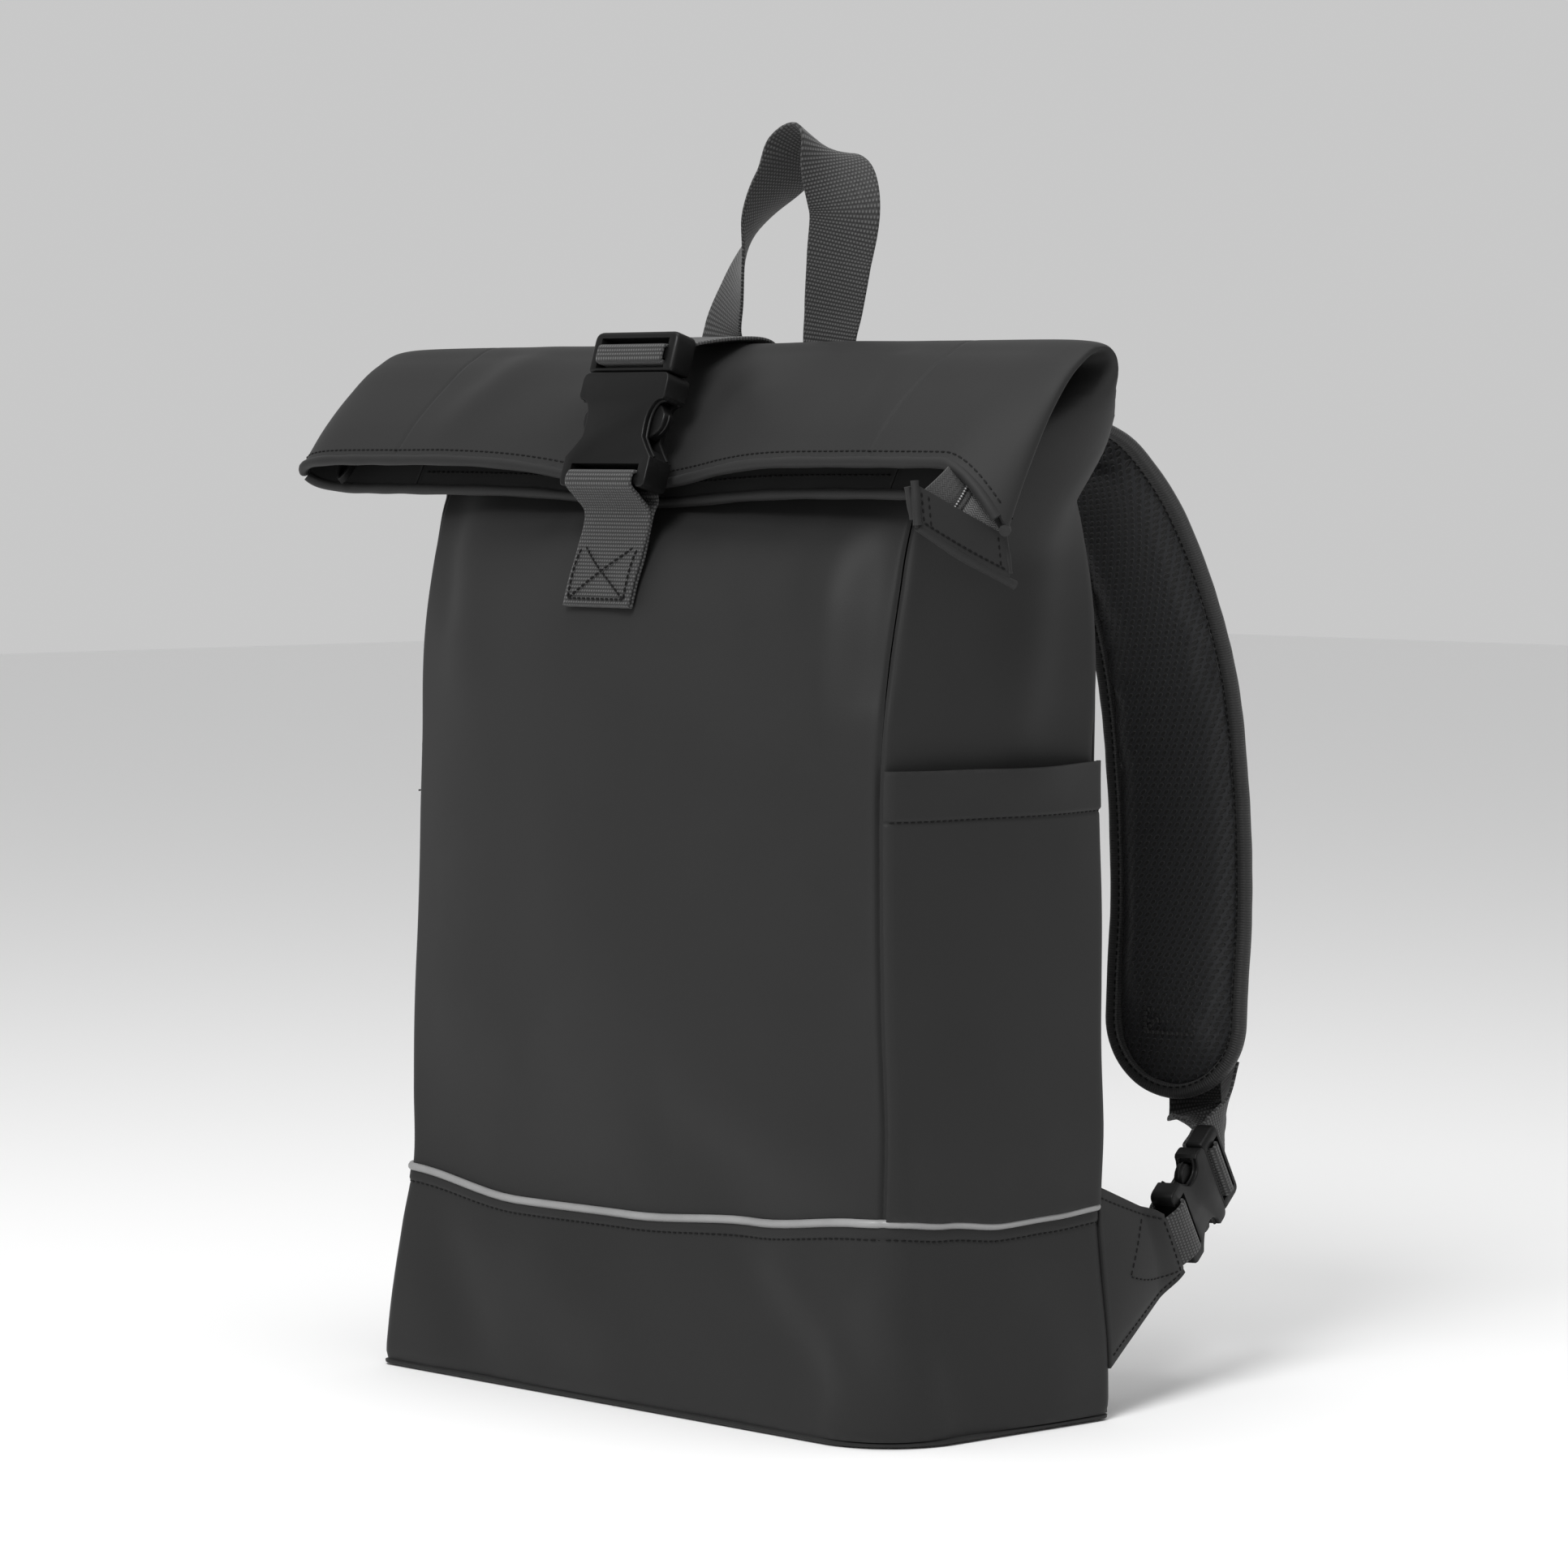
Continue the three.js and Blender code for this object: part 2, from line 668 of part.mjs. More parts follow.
function zipTail() {
  const narrow = 8;
  return band(tailSpots.map((spot, i) => ({
    ...spot,
    width: lerp(narrow, tailWidth, smooth(i / 10, 0.4, 1)),
  })), tailWidth, tapeThickness);
}

function zipEndTab() {
  const end = tailSpots[tailSpots.length - 1];
  const spots = [0, 0.5, 1].map((t) => ({
    place: end.place.clone().addScaledVector(tailGoes, gap + t * tabLength),
    across: end.across,
  }));
  return band(spots, tabWidth, tabThickness);
}

place('zip_tail', zipTail(), webbing);
place('zip_end_tab', zipEndTab(), coated);

function zipPull() {
  const x = zipStart - pullWidth / 2 - pullThickness / 2 - 2 * gap;
  const top = insideMouth(x, coilDepth);
  const down = insideMouth(x, 0).sub(top).normalize();
  const loop = [[0, 0.5], [0.75, 0.5], [1, 0], [0.75, -0.5], [0, -0.5]];
  const spots = loop.map(([reach, side]) => ({
    place: top.clone().addScaledVector(down, reach * pullLength).add(point(side * pullWidth, 0, 0)),
    across: acrossMouth,
  }));
  return band(smoothSpots(spots, 12), 3, pullThickness);
}

place('zip_pull', zipPull(), moulded);

// A side-release buckle half is cut in its own frame: x across, y along the strap from the
// foot of the female half to the top of the male half, z out of its face.
const windowAt = 0.58;
const frameInset = 0.6;

function buckleSizes(webbingWidth) {
  return {
    slot: webbingWidth + 1.2,
    half: webbingWidth / 2 + 6,
    waist: webbingWidth * 0.46,
    female: webbingWidth * 0.95 + 9,
    male: webbingWidth * 0.13 + 12,
    thick: 7 + webbingWidth * 0.14,
    bar: 3.6,
    opening: 4.6,
    rim: 3,
    lowerSlot: 3.8,
    lip: 1.6,
    cavity: 3 + webbingWidth * 0.07,
  };
}

function plate(outline, from, to, bevel = 0) {
  const geometry = new THREE.ExtrudeGeometry(outline, {
    depth: to - from - 2 * bevel,
    bevelEnabled: bevel > 0,
    bevelSize: bevel,
    bevelOffset: -bevel,
    bevelThickness: bevel,
    bevelSegments: 1,
    curveSegments: 4,
  });
  geometry.translate(0, 0, from + bevel);
  return toManifold(geometry);
}

function rectangle(left, bottom, right, top) {
  const outline = new THREE.Shape();
  outline.moveTo(left, bottom);
  outline.lineTo(right, bottom);
  outline.lineTo(right, top);
  outline.lineTo(left, top);
  outline.closePath();
  return outline;
}

function femaleHalf(size) {
  const outline = new THREE.Shape();
  const shoulder = size.female;
  const windowTop = shoulder * 0.76;
  const windowFoot = shoulder * 0.38;
  outline.moveTo(-size.half + 3, 0);
  outline.lineTo(size.half - 3, 0);
  outline.quadraticCurveTo(size.half, 0, size.half, 3);
  outline.lineTo(size.half, shoulder * 0.24);
  outline.quadraticCurveTo(size.waist + 3, windowFoot - 2, size.waist, windowFoot + 2);
  outline.quadraticCurveTo(size.waist - 2, windowTop, size.half - 1, windowTop);
  outline.lineTo(size.half, shoulder - 4);
  outline.quadraticCurveTo(size.half, shoulder, size.half - 4, shoulder);
  outline.lineTo(-size.half + 4, shoulder);
  outline.quadraticCurveTo(-size.half, shoulder, -size.half, shoulder - 4);
  outline.lineTo(-size.half + 1, windowTop);
  outline.quadraticCurveTo(-size.waist + 2, windowTop, -size.waist, windowFoot + 2);
  outline.quadraticCurveTo(-size.waist - 3, windowFoot - 2, -size.half, shoulder * 0.24);
  outline.lineTo(-size.half, 3);
  outline.quadraticCurveTo(-size.half, 0, -size.half + 3, 0);
  const body = plate(outline, -size.thick / 2, size.thick / 2, 1.6);
  const cavity = plate(rectangle(-size.half + 3.2, windowFoot - 3, size.half - 3.2, shoulder + 5),
    -size.cavity / 2, size.cavity / 2);
  const slot = plate(rectangle(-size.slot / 2, size.bar, size.slot / 2, size.bar + size.opening),
    -size.thick, size.thick);
  return fromManifold(body.subtract(cavity).subtract(slot));
}

function maleHalf(size) {
  const foot = size.female + gap;
  const top = foot + size.male;
  const frame = plate(rectangle(-size.half + frameInset, foot, size.half - frameInset, top),
    -size.thick / 2 + frameInset, size.thick / 2 - frameInset, 1.6);
  const upperTo = top - size.rim;
  const upper = plate(rectangle(-size.slot / 2, upperTo - size.opening, size.slot / 2, upperTo),
    -size.thick, size.thick);
  const lowerFrom = foot + size.lip;
  const lower = plate(rectangle(-size.slot / 2, lowerFrom, size.slot / 2,
    lowerFrom + size.lowerSlot), -size.thick, size.thick);
  const play = size.cavity / 2 - gap;
  const arm = new THREE.Shape();
  const root = size.half - 5;
  const tip = size.female * 0.42;
  const bend = size.female * windowAt;
  arm.moveTo(root, foot + 1);
  arm.lineTo(root - 4.5, foot + 1);
  arm.lineTo(size.waist - 5, tip + 3);
  arm.lineTo(size.waist - 1, tip);
  arm.quadraticCurveTo(size.half - 0.5, bend - 4, size.half - 1.4, bend + 3);
  arm.quadraticCurveTo(size.half - 3, size.female * 0.70, root - 0.5, size.female * 0.74);
  arm.closePath();
  const right = plate(arm, -play, play);
  const mirror = arm.getPoints(4).map((spot) => new THREE.Vector2(-spot.x, spot.y)).reverse();
  const left = plate(new THREE.Shape(mirror), -play, play);
  const guide = plate(rectangle(-4, size.female * 0.55, 4, foot + 1), -play, play);
  const whole = frame.subtract(upper).subtract(lower).add(right).add(left).add(guide);
  return fromManifold(whole);
}

// How far webbing's middle stays from a bar that it runs round.
const barClear = webbingThickness / 2 + gap + 0.2;

// Webbing round the female half's bar, from behind it, through its slot, to in front.
function roundFemaleBar(frame, size) {
  const face = size.thick / 2;
  const slot = size.bar + barClear;
  const corner = 0.7 * barClear;
  return [
    frame.spot(-0.5, -face - barClear),
    frame.spot(size.bar + corner, -face - corner),
    frame.spot(slot, -face / 2),
    frame.spot(slot, face / 2),
    frame.spot(size.bar + corner, face + corner),
    frame.spot(-0.5, face + barClear),
  ];
}

// Webbing over the male half's bar, from behind its upper slot to behind its lower slot.
function overMaleBar(frame, size) {
  const foot = size.female + gap + size.lip + size.lowerSlot;
  const top = size.female + gap + size.male - size.rim - size.opening;
  const face = size.thick / 2 - frameInset;
  const corner = 0.7 * barClear;
  return [
    frame.spot(top + barClear, -face / 2),
    frame.spot(top + barClear, face / 2),
    frame.spot(top + corner, face + corner),
    frame.spot(lerp(foot, top, 0.5), face + barClear),
    frame.spot(foot - corner, face + corner),
    frame.spot(foot - barClear, face / 2),
    frame.spot(foot - barClear, -face / 2),
  ];
}

// A buckle's own frame set in the bag: where its foot is, which way it runs and faces.
function buckleFrame(foot, axis, face) {
  const up = axis.clone().normalize();
  const across = up.clone().cross(face).normalize();
  const out = across.clone().cross(up).normalize();
  const frame = new THREE.Group();
  frame.position.copy(foot);
  frame.quaternion.setFromRotationMatrix(new THREE.Matrix4().makeBasis(across, up, out));
  frame.updateMatrixWorld(true);
  backpack.add(frame);
  return {
    group: frame,
    across,
    spot: (along2, out2) => foot.clone().addScaledVector(up, along2).addScaledVector(out, out2),
  };
}

const front = buckleSizes(closureWebbing);
const leanUp = Math.sqrt(1 - buckleLean * buckleLean);
const frontFrame = buckleFrame(point(0, buckleFoot.y, buckleFoot.z),
  point(0, buckleLean, leanUp), point(0, -leanUp, buckleLean));
place('buckle_female', femaleHalf(front), moulded, frontFrame.group);
place('buckle_male', maleHalf(front), moulded, frontFrame.group);

// The front tab: up the front panel, round the female half's bar and down over itself.
function frontTab() {
  const onPanel = (z, stand) => {
    return standingOff('front', distanceAtHeight(z), 0.5, stand);
  };
  const first = webbingThickness / 2 + gap + 0.4;
  const second = first + webbingThickness + gap;
  const barReach = front.thick / 2;
  const places = [
    onPanel(tabBottom, first),
    onPanel(lerp(tabBottom, tabTop, 0.5), first),
    onPanel(tabTop, first),
    frontFrame.spot(-8, -barReach * 0.75),
    ...roundFemaleBar(frontFrame, front),
    frontFrame.spot(-8, barReach * 0.8),
    onPanel(tabTop, second + 0.6),
    onPanel(lerp(tabBottom, tabTop, 0.5), second),
    onPanel(tabBottom, second),
  ];
  const spots = places.map((spot) => ({ place: spot, across: sideways }));
  return band(smoothSpots(spots, 34), closureWebbing, webbingThickness);
}

place('front_tab', frontTab(), webbing);

// The closure strap: from the back panel over the fold and round the male half's bar.
function onBack(z, x, stand) {
  return standingOff('back', distanceAtHeight(z), 0.5 - x / bagWidth, stand);
}

function closureStrap() {
  const stand = webbingThickness / 2 + gap + 0.3;
  const overFold = (degrees) => {
    const angle = THREE.MathUtils.degToRad(degrees);
    const radius = foldRadius + stand + 0.4;
    return point(0, foldCentre.y + radius * Math.cos(angle), foldCentre.z + radius * Math.sin(angle));
  };
  const top = front.female + gap + front.male;
  const behind = front.thick / 2 + barClear;
  const places = [
    onBack(closureSewnHeight, 0, stand),
    onBack(lerp(closureSewnHeight, foldCentre.z, 0.35), 0, stand),
    onBack(lerp(closureSewnHeight, foldCentre.z, 0.7), 0, stand + 0.3),
    overFold(10),
    overFold(50),
    overFold(85),
    frontFrame.spot(top - 1, -behind - 2),
    ...overMaleBar(frontFrame, front),
    frontFrame.spot(top - front.male + 5, -behind - 0.5),
  ];
  const spots = places.map((spot) => ({ place: spot, across: sideways }));
  return band(smoothSpots(spots, 48), closureWebbing, webbingThickness);
}

place('closure_strap', closureStrap(), webbing);

// The grab handle stands up behind the fold. Shares of its rise, and of half its spacing.
// turn: how far round the webbing has turned, in degrees. tip: how far its near edge is raised.
const handleColumns = ['side', 'rise', 'lean', 'turn', 'tip'];
const handleRows = [
  [-1.00, 0.00, 0.02, -3, 0],
  [-0.98, 0.12, 0.02, -12, 0],
  [-0.82, 0.27, 0.02, -22, 0],
  [-0.58, 0.47, 0.01, -38, 0.05],
  [-0.36, 0.62, 0.01, -54, 0.2],
  [0.06, 0.80, 0.00, -72, 0.45],
  [0.48, 0.915, 0.00, -84, 0.6],
  [0.86, 0.95, 0.00, -100, 0.6],
  [1.14, 0.85, 0.00, -125, 0.35],
  [1.33, 0.66, 0.00, -148, 0.1],
  [1.20, 0.42, 0.01, -163, 0],
  [1.07, 0.20, 0.02, -172, 0],
  [1.00, 0.00, 0.02, -180, 0],
];

function grabHandle() {
  const stand = webbingThickness * 1.5 + 2 * gap + 0.8;
  const foot = onBack(foldCentre.z - 14, handleSpacing / 2, stand);
  const loop = handleRows.map((values) => {
    const row = named(handleColumns, values);
    const turn = THREE.MathUtils.degToRad(row.turn);
    return {
      place: point(row.side * handleSpacing / 2, foot.y + row.lean * handleRise - 3,
        foldHeight - 4 + row.rise * (handleRise + 4)),
      across: point(Math.cos(turn), Math.sin(turn), row.tip).normalize(),
    };
  });
  const leg = (side) => [handleSewnHeight, foldCentre.z - 22].map((z) => ({
    place: onBack(z, side * handleSpacing / 2, stand),
    across: point(-side, 0, 0),
  }));
  const spots = [...leg(-1), ...loop, ...leg(1).reverse()];
  return band(smoothSpots(spots, 46), handleWebbing, webbingThickness);
}

place('grab_handle', grabHandle(), webbing);

// The shoulder straps: rows along a strap's middle line. away: share of the strap's bulge
// behind the bag. out: share of half the bag's width. turn: degrees its outer edge swings
// back. thick: share of the strap's thickness.
const strapColumns = ['up', 'away', 'out', 'turn', 'thick'];
const strapRows = [
  [1.00, 0.000, 0.56, 0, 0.45],
  [1.055, 0.075, 0.57, 0, 0.60],
  [1.095, 0.220, 0.59, 2, 0.85],
  [1.075, 0.390, 0.61, 4, 1.00],
  [1.005, 0.560, 0.63, 6, 1.00],
  [0.900, 0.710, 0.635, 10, 1.00],
  [0.735, 0.860, 0.635, 14, 1.00],
  [0.560, 0.925, 0.635, 16, 1.00],
  [0.386, 0.945, 0.635, 16, 1.00],
  [0.243, 0.925, 0.635, 16, 1.00],
  [0.100, 0.912, 0.635, 14, 0.90],
];
function strapLine(side) {
  const root = named(strapColumns, strapRows[0]);
  const stand = root.thick * strapThickness / 2 + gap;
  const start = onBack(strapSewnHeight, root.out * bagWidth / 2, stand);
  const spots = strapRows.map((values) => {
    const row = named(strapColumns, values);
    const turn = THREE.MathUtils.degToRad(row.turn);
    return {
      place: point(side * row.out * bagWidth / 2, start.y + row.away * strapBulge,
        lerp(strapLow, start.z, row.up)),
      across: point(Math.cos(turn), side * Math.sin(turn), 0),
      thick: row.thick,
    };
  });
  return spots;
}

const strapSteps = 22;

function strapSections(side) {
  const rows = strapLine(side);
  const spots = smoothSpots(rows, strapSteps);
  let length = 0;
  const lengths = spots.map((spot, i) => {
    if (i > 0) length += spot.place.distanceTo(spots[i - 1].place);
    return length;
  });
  return spots.map((spot, i) => {
    const forward = spots[Math.min(i + 1, strapSteps)].place.clone()
      .sub(spots[Math.max(i - 1, 0)].place).normalize();
    const across = spot.across.clone().addScaledVector(forward, -spot.across.dot(forward));
    across.normalize();
    const face = across.clone().cross(forward).normalize();
    const place = (i / strapSteps) * (rows.length - 1);
    const row = Math.min(Math.floor(place), rows.length - 2);
    const thick = lerp(rows[row].thick, rows[row + 1].thick, place - row) * strapThickness;
    const left = length - lengths[i];
    const round = Math.sqrt(clamp(1 - (1 - clamp(left / (strapWidth / 2), 0, 1)) ** 2, 0.1, 1));
    return { place: spot.place, across, face, thick, half: strapWidth / 2 * round };
  });
}

function strapPad(sections) {
  return loft(sections.map((at) => {
    const half = at.half - strapBinding - gap;
    const corner = [[-1, -0.5], [-0.8, -1], [0.8, -1], [1, -0.5],
      [1, 0.5], [0.8, 1], [-0.8, 1], [-1, 0.5]];
    return corner.map(([a, b]) => at.place.clone()
      .addScaledVector(at.across, a * half).addScaledVector(at.face, b * at.thick / 2));
  }));
}

// The binding goes down one edge, round the end and up the other, so its sections face
// away from the strap's middle line.
function strapBindingTape(sections) {
  const centre = strapBinding / 2;
  const down = sections.map((at) => ({ at, side: -1 }));
  const end = sections[sections.length - 1];
  const beyond = end.place.clone().sub(sections[sections.length - 2].place).normalize();
  const ringAcross = (place, outward, face, thick) => {
    const t = Math.min(thick * 0.62, 6) / 2;
    return [[-1, -1], [1, -1], [1, 1], [-1, 1]].map(([a, b]) => place.clone()
      .addScaledVector(outward, a * centre).addScaledVector(face, b * t));
  };
  const sideRing = ({ at, side }) => ringAcross(
    at.place.clone().addScaledVector(at.across, side * (at.half - centre)),
    at.across.clone().multiplyScalar(side), at.face, at.thick);
  const endPlace = end.place.clone().addScaledVector(beyond, centre + gap);
  const endRing = ringAcross(endPlace, beyond, end.face, end.thick);
  const up = sections.map((at) => ({ at, side: 1 })).reverse();
  const rings = [...down.map(sideRing), endRing, ...up.map(sideRing)];
  return loft(rings);
}

// The lower buckle, its webbing and the coated wing that holds it at the rear corner.
const lower = buckleSizes(lowerWebbing);

function lowerHardware(side, name, sections) {
  const foot = point(side * lowerFoot.x, lowerFoot.y, lowerFoot.z);
  const axis = point(-side * 0.23, 0.80, 0.55);
  const frame = buckleFrame(foot, axis, point(side * 0.96, 0.26, 0.03));
  place(`lower_female_${name}`, femaleHalf(lower), moulded, frame.group);
  place(`lower_male_${name}`, maleHalf(lower), moulded, frame.group);

  const wide = frame.across;
  const end = sections[sections.length - 1];
  const beyond = end.place.clone().sub(sections[sections.length - 2].place).normalize();
  const strapEnd = end.place.clone().addScaledVector(beyond, strapBinding + 3 * gap + 3);
  const endAcross = end.across.clone().multiplyScalar(side);
  const facing = wide.dot(endAcross) < 0 ? wide.clone().negate() : wide.clone();
  const middle = facing.clone().add(endAcross).normalize();
  const top = lower.female + gap + lower.male;
  const behind = lower.thick / 2 + barClear;
  const under = behind + webbingThickness + 2 * gap;
  const carried = [
    { place: strapEnd, across: endAcross },
    { place: strapEnd.clone().lerp(frame.spot(top + 6, -under - 2), 0.5), across: middle },
  ];
  const barFoot = lower.female + gap + lower.lip + lower.lowerSlot;
  const throughSlots = [
    frame.spot(top + 6, -under - 2),
    frame.spot(top - 1, -under),
    frame.spot(barFoot + 1, -under),
    frame.spot(barFoot - barClear + 0.2, -behind + 0.2),
    ...overMaleBar(frame, lower).reverse(),
    frame.spot(top - 2, -behind),
  ].map((spot) => ({ place: spot, across: facing }));
  const tip = foot.clone().add(point(side * lowerTail.x, lowerTail.y, lowerTail.z));
  const tipAcross = point(side * 0.8, 0.25, -0.5).normalize();
  const tail = [
    { place: frame.spot(top + 7, -behind + 1), across: facing },
    {
      place: frame.spot(top + 7, -behind + 1).lerp(tip, 0.45).add(point(0, 3, -2)),
      across: facing.clone().lerp(tipAcross, 0.5),
    },
    { place: tip, across: tipAcross },
  ];
  const webbingSpots = smoothSpots([...carried, ...throughSlots, ...tail], 54);
  place(`lower_webbing_${name}`, band(webbingSpots, lowerWebbing, webbingThickness), webbing);

  const wingTip = frame.spot(-9.45, 0);
  const loopSpots = smoothSpots([
    frame.spot(-9, -1.8),
    ...roundFemaleBar(frame, lower),
    frame.spot(-9, 1.8),
  ].map((spot) => ({ place: spot, across: facing })), 22);
  place(`wing_loop_${name}`, band(loopSpots, lowerWebbing, webbingThickness), webbing);

  const edge = facing.clone().multiplyScalar(lowerWebbing / 2 + 3);
  const panel = side > 0 ? 'right' : 'left';
  const share = side > 0 ? 0.975 : 0.025;
  const low = onBag(panel, distanceAtHeight(wingBottom), share);
  const high = onBag(panel, distanceAtHeight(wingTop - 12), share);
  const away = point(side * (wingThickness / 2 + 0.2), wingThickness / 2 + gap, 0);
  const roots = [low.add(away), high.add(away)];
  const tips = edge.z < 0 ? [wingTip.clone().add(edge), wingTip.clone().sub(edge)]
    : [wingTip.clone().sub(edge), wingTip.clone().add(edge)];
  const spots = [0, 0.5, 1].map((t) => {
    const bottom = roots[0].clone().lerp(tips[0], t);
    const topEdge = roots[1].clone().lerp(tips[1], t);
    return { bottom, topEdge };
  });
  const rings = spots.map(({ bottom, topEdge }) => {
    const across = topEdge.clone().sub(bottom).normalize();
    const forward = tips[0].clone().add(tips[1]).sub(roots[0]).sub(roots[1]).normalize();
    const face = across.clone().cross(forward).normalize().multiplyScalar(wingThickness / 2);
    return [
      bottom.clone().sub(face),
      topEdge.clone().sub(face),
      topEdge.clone().add(face),
      bottom.clone().add(face),
    ];
  });
  place(`wing_${name}`, loft(rings), coated);
}

for (const [side, name] of [[1, 'right'], [-1, 'left']]) {
  const sections = strapSections(side);
  place(`strap_pad_${name}`, strapPad(sections), mesh);
  place(`strap_binding_${name}`, strapBindingTape(sections), webbing);
  lowerHardware(side, name, sections);
}

export default backpack;
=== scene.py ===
# A closed rolltop backpack of soft coated cloth, with webbing, buckles and padded straps.
# Metres, +Z up. The front faces -Y and the origin is the middle of the base's underside.
import functools
import json
import math

import bpy
import numpy as np
from mathutils import Matrix, Vector, noise

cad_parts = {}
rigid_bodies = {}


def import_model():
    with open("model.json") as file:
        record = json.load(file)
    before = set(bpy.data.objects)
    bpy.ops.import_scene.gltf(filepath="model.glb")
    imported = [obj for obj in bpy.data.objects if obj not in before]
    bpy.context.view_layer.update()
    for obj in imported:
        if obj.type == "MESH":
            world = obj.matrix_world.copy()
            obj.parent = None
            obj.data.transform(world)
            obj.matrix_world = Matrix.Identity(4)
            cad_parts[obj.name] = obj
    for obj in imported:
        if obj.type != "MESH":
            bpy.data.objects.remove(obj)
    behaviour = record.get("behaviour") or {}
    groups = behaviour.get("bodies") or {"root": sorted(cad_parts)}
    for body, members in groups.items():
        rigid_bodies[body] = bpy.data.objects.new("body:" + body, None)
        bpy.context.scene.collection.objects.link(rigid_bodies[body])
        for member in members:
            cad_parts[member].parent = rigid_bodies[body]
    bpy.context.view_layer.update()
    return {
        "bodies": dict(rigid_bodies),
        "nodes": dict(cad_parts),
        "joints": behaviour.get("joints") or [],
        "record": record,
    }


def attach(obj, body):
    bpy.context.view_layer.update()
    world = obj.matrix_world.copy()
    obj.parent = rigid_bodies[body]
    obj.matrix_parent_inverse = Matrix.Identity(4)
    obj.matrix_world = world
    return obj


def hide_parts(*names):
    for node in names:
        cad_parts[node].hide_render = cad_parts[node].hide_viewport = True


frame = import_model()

# Camera, where the photographer stood
CAMERA_AZIMUTH = math.radians(47.2)
CAMERA_ELEVATION = math.radians(3.4)
CAMERA_DISTANCE = 2.4
CAMERA_TARGET = Vector((0.0241, 0, 0.2527))
CAMERA_LENS = 134.3


def add_camera():
    back = Vector((
        math.sin(CAMERA_AZIMUTH) * math.cos(CAMERA_ELEVATION),
        -math.cos(CAMERA_AZIMUTH) * math.cos(CAMERA_ELEVATION),
        math.sin(CAMERA_ELEVATION),
    ))
    data = bpy.data.cameras.new("camera")
    data.lens = CAMERA_LENS
    data.sensor_width = 36
    camera = bpy.data.objects.new("camera", data)
    bpy.context.scene.collection.objects.link(camera)
    camera.location = CAMERA_TARGET + back * CAMERA_DISTANCE
    camera.rotation_euler = back.to_track_quat("Z", "Y").to_euler()
    bpy.context.scene.camera = camera


add_camera()

# Driving sizes of the bag
BAG_WIDTH = 0.290
BAG_DEPTH = 0.120
BASE_WIDTH = 0.314
FOLDED_WIDTH = 0.428
FOLD_HEIGHT = 0.433
FOLD_SET_BACK = 0.008
FOLD_RADIUS = 0.011
FOLD_INNER_RADIUS = 0.0035
FLAP_REACH = 0.060
FLAP_DROP = 0.046
FLAP_SAG = 0.019
SAG_START = 0.186
BOOT_HEIGHT = 0.085
PIPING_WAVE = 0.008
CORNER_RADIUS = 0.007
NEAR_RADIUS = 0.030
FRONT_CROWN = 0.022
BACK_CROWN = 0.008
SIDE_CROWN = 0.005
STRAP_PINCH = 0.015
STRAP_PINCH_REACH = 0.055
WALL = 0.002
GAP = 0.0003
PIPING_RADIUS = 0.0018
RIM_RADIUS = 0.0022
POCKET_HEIGHT = 0.265
POCKET_WALL = 0.0016
POCKET_BULGE = 0.008
POCKET_HEM = 0.020

# Zip
ZIP_DEPTH = 0.016
ZIP_LENGTH = 0.350
TAPE_LIFT = 0.004
COIL_RADIUS = 0.0016
END_TAB_WIDTH = 0.045
END_TAB_LENGTH = 0.017

# Webbing and buckles
CLOSURE_WEBBING = 0.040
HANDLE_WEBBING = 0.030
LOWER_WEBBING = 0.025
WEBBING_THICKNESS = 0.0015
TAB_TOP = FOLD_HEIGHT - 0.088
TAB_BOTTOM = FOLD_HEIGHT - 0.107
CLOSURE_SEWN_HEIGHT = FOLD_HEIGHT - 0.061
HANDLE_SPACING = 0.065
HANDLE_RISE = 0.086
HANDLE_SEWN_HEIGHT = FOLD_HEIGHT - 0.045
BUCKLE_FOOT = Vector((0, -FLAP_REACH - 0.0125, FOLD_HEIGHT - FLAP_DROP - 0.0125))
BUCKLE_LEAN = 0.302

# Shoulder straps
STRAP_WIDTH = 0.066
STRAP_THICKNESS = 0.0085
STRAP_BINDING = 0.0062
STRAP_SEWN_HEIGHT = FOLD_HEIGHT - 0.061
STRAP_BULGE = 0.122
STRAP_LOW = BOOT_HEIGHT + 0.007
LOWER_FOOT = Vector((BAG_WIDTH / 2 - 0.011, BAG_DEPTH / 2 + 0.057, BOOT_HEIGHT - 0.016))
LOWER_TAIL = Vector((-0.029, 0.063, 0.058))
WING_TOP = BOOT_HEIGHT + 0.013
WING_BOTTOM = 0.020

# Sewing
STITCH_PITCH = 0.0031
STITCH_LENGTH = 0.0022
STITCH_RADIUS = 0.00032
STITCH_LIFT = 0.0001
SEAM_DIP = 0.0008
SEAM_HALF = 0.0010


def lerp(a, b, t):
    return a + (b - a) * t


def clamp(value, low, high):
    return max(low, min(high, value))


def smooth(value, start, end):
    t = clamp((value - start) / (end - start), 0, 1)
    return t * t * (3 - 2 * t)


def spread(count, start=0.0, end=1.0):
    return [lerp(start, end, i / count) for i in range(count + 1)]


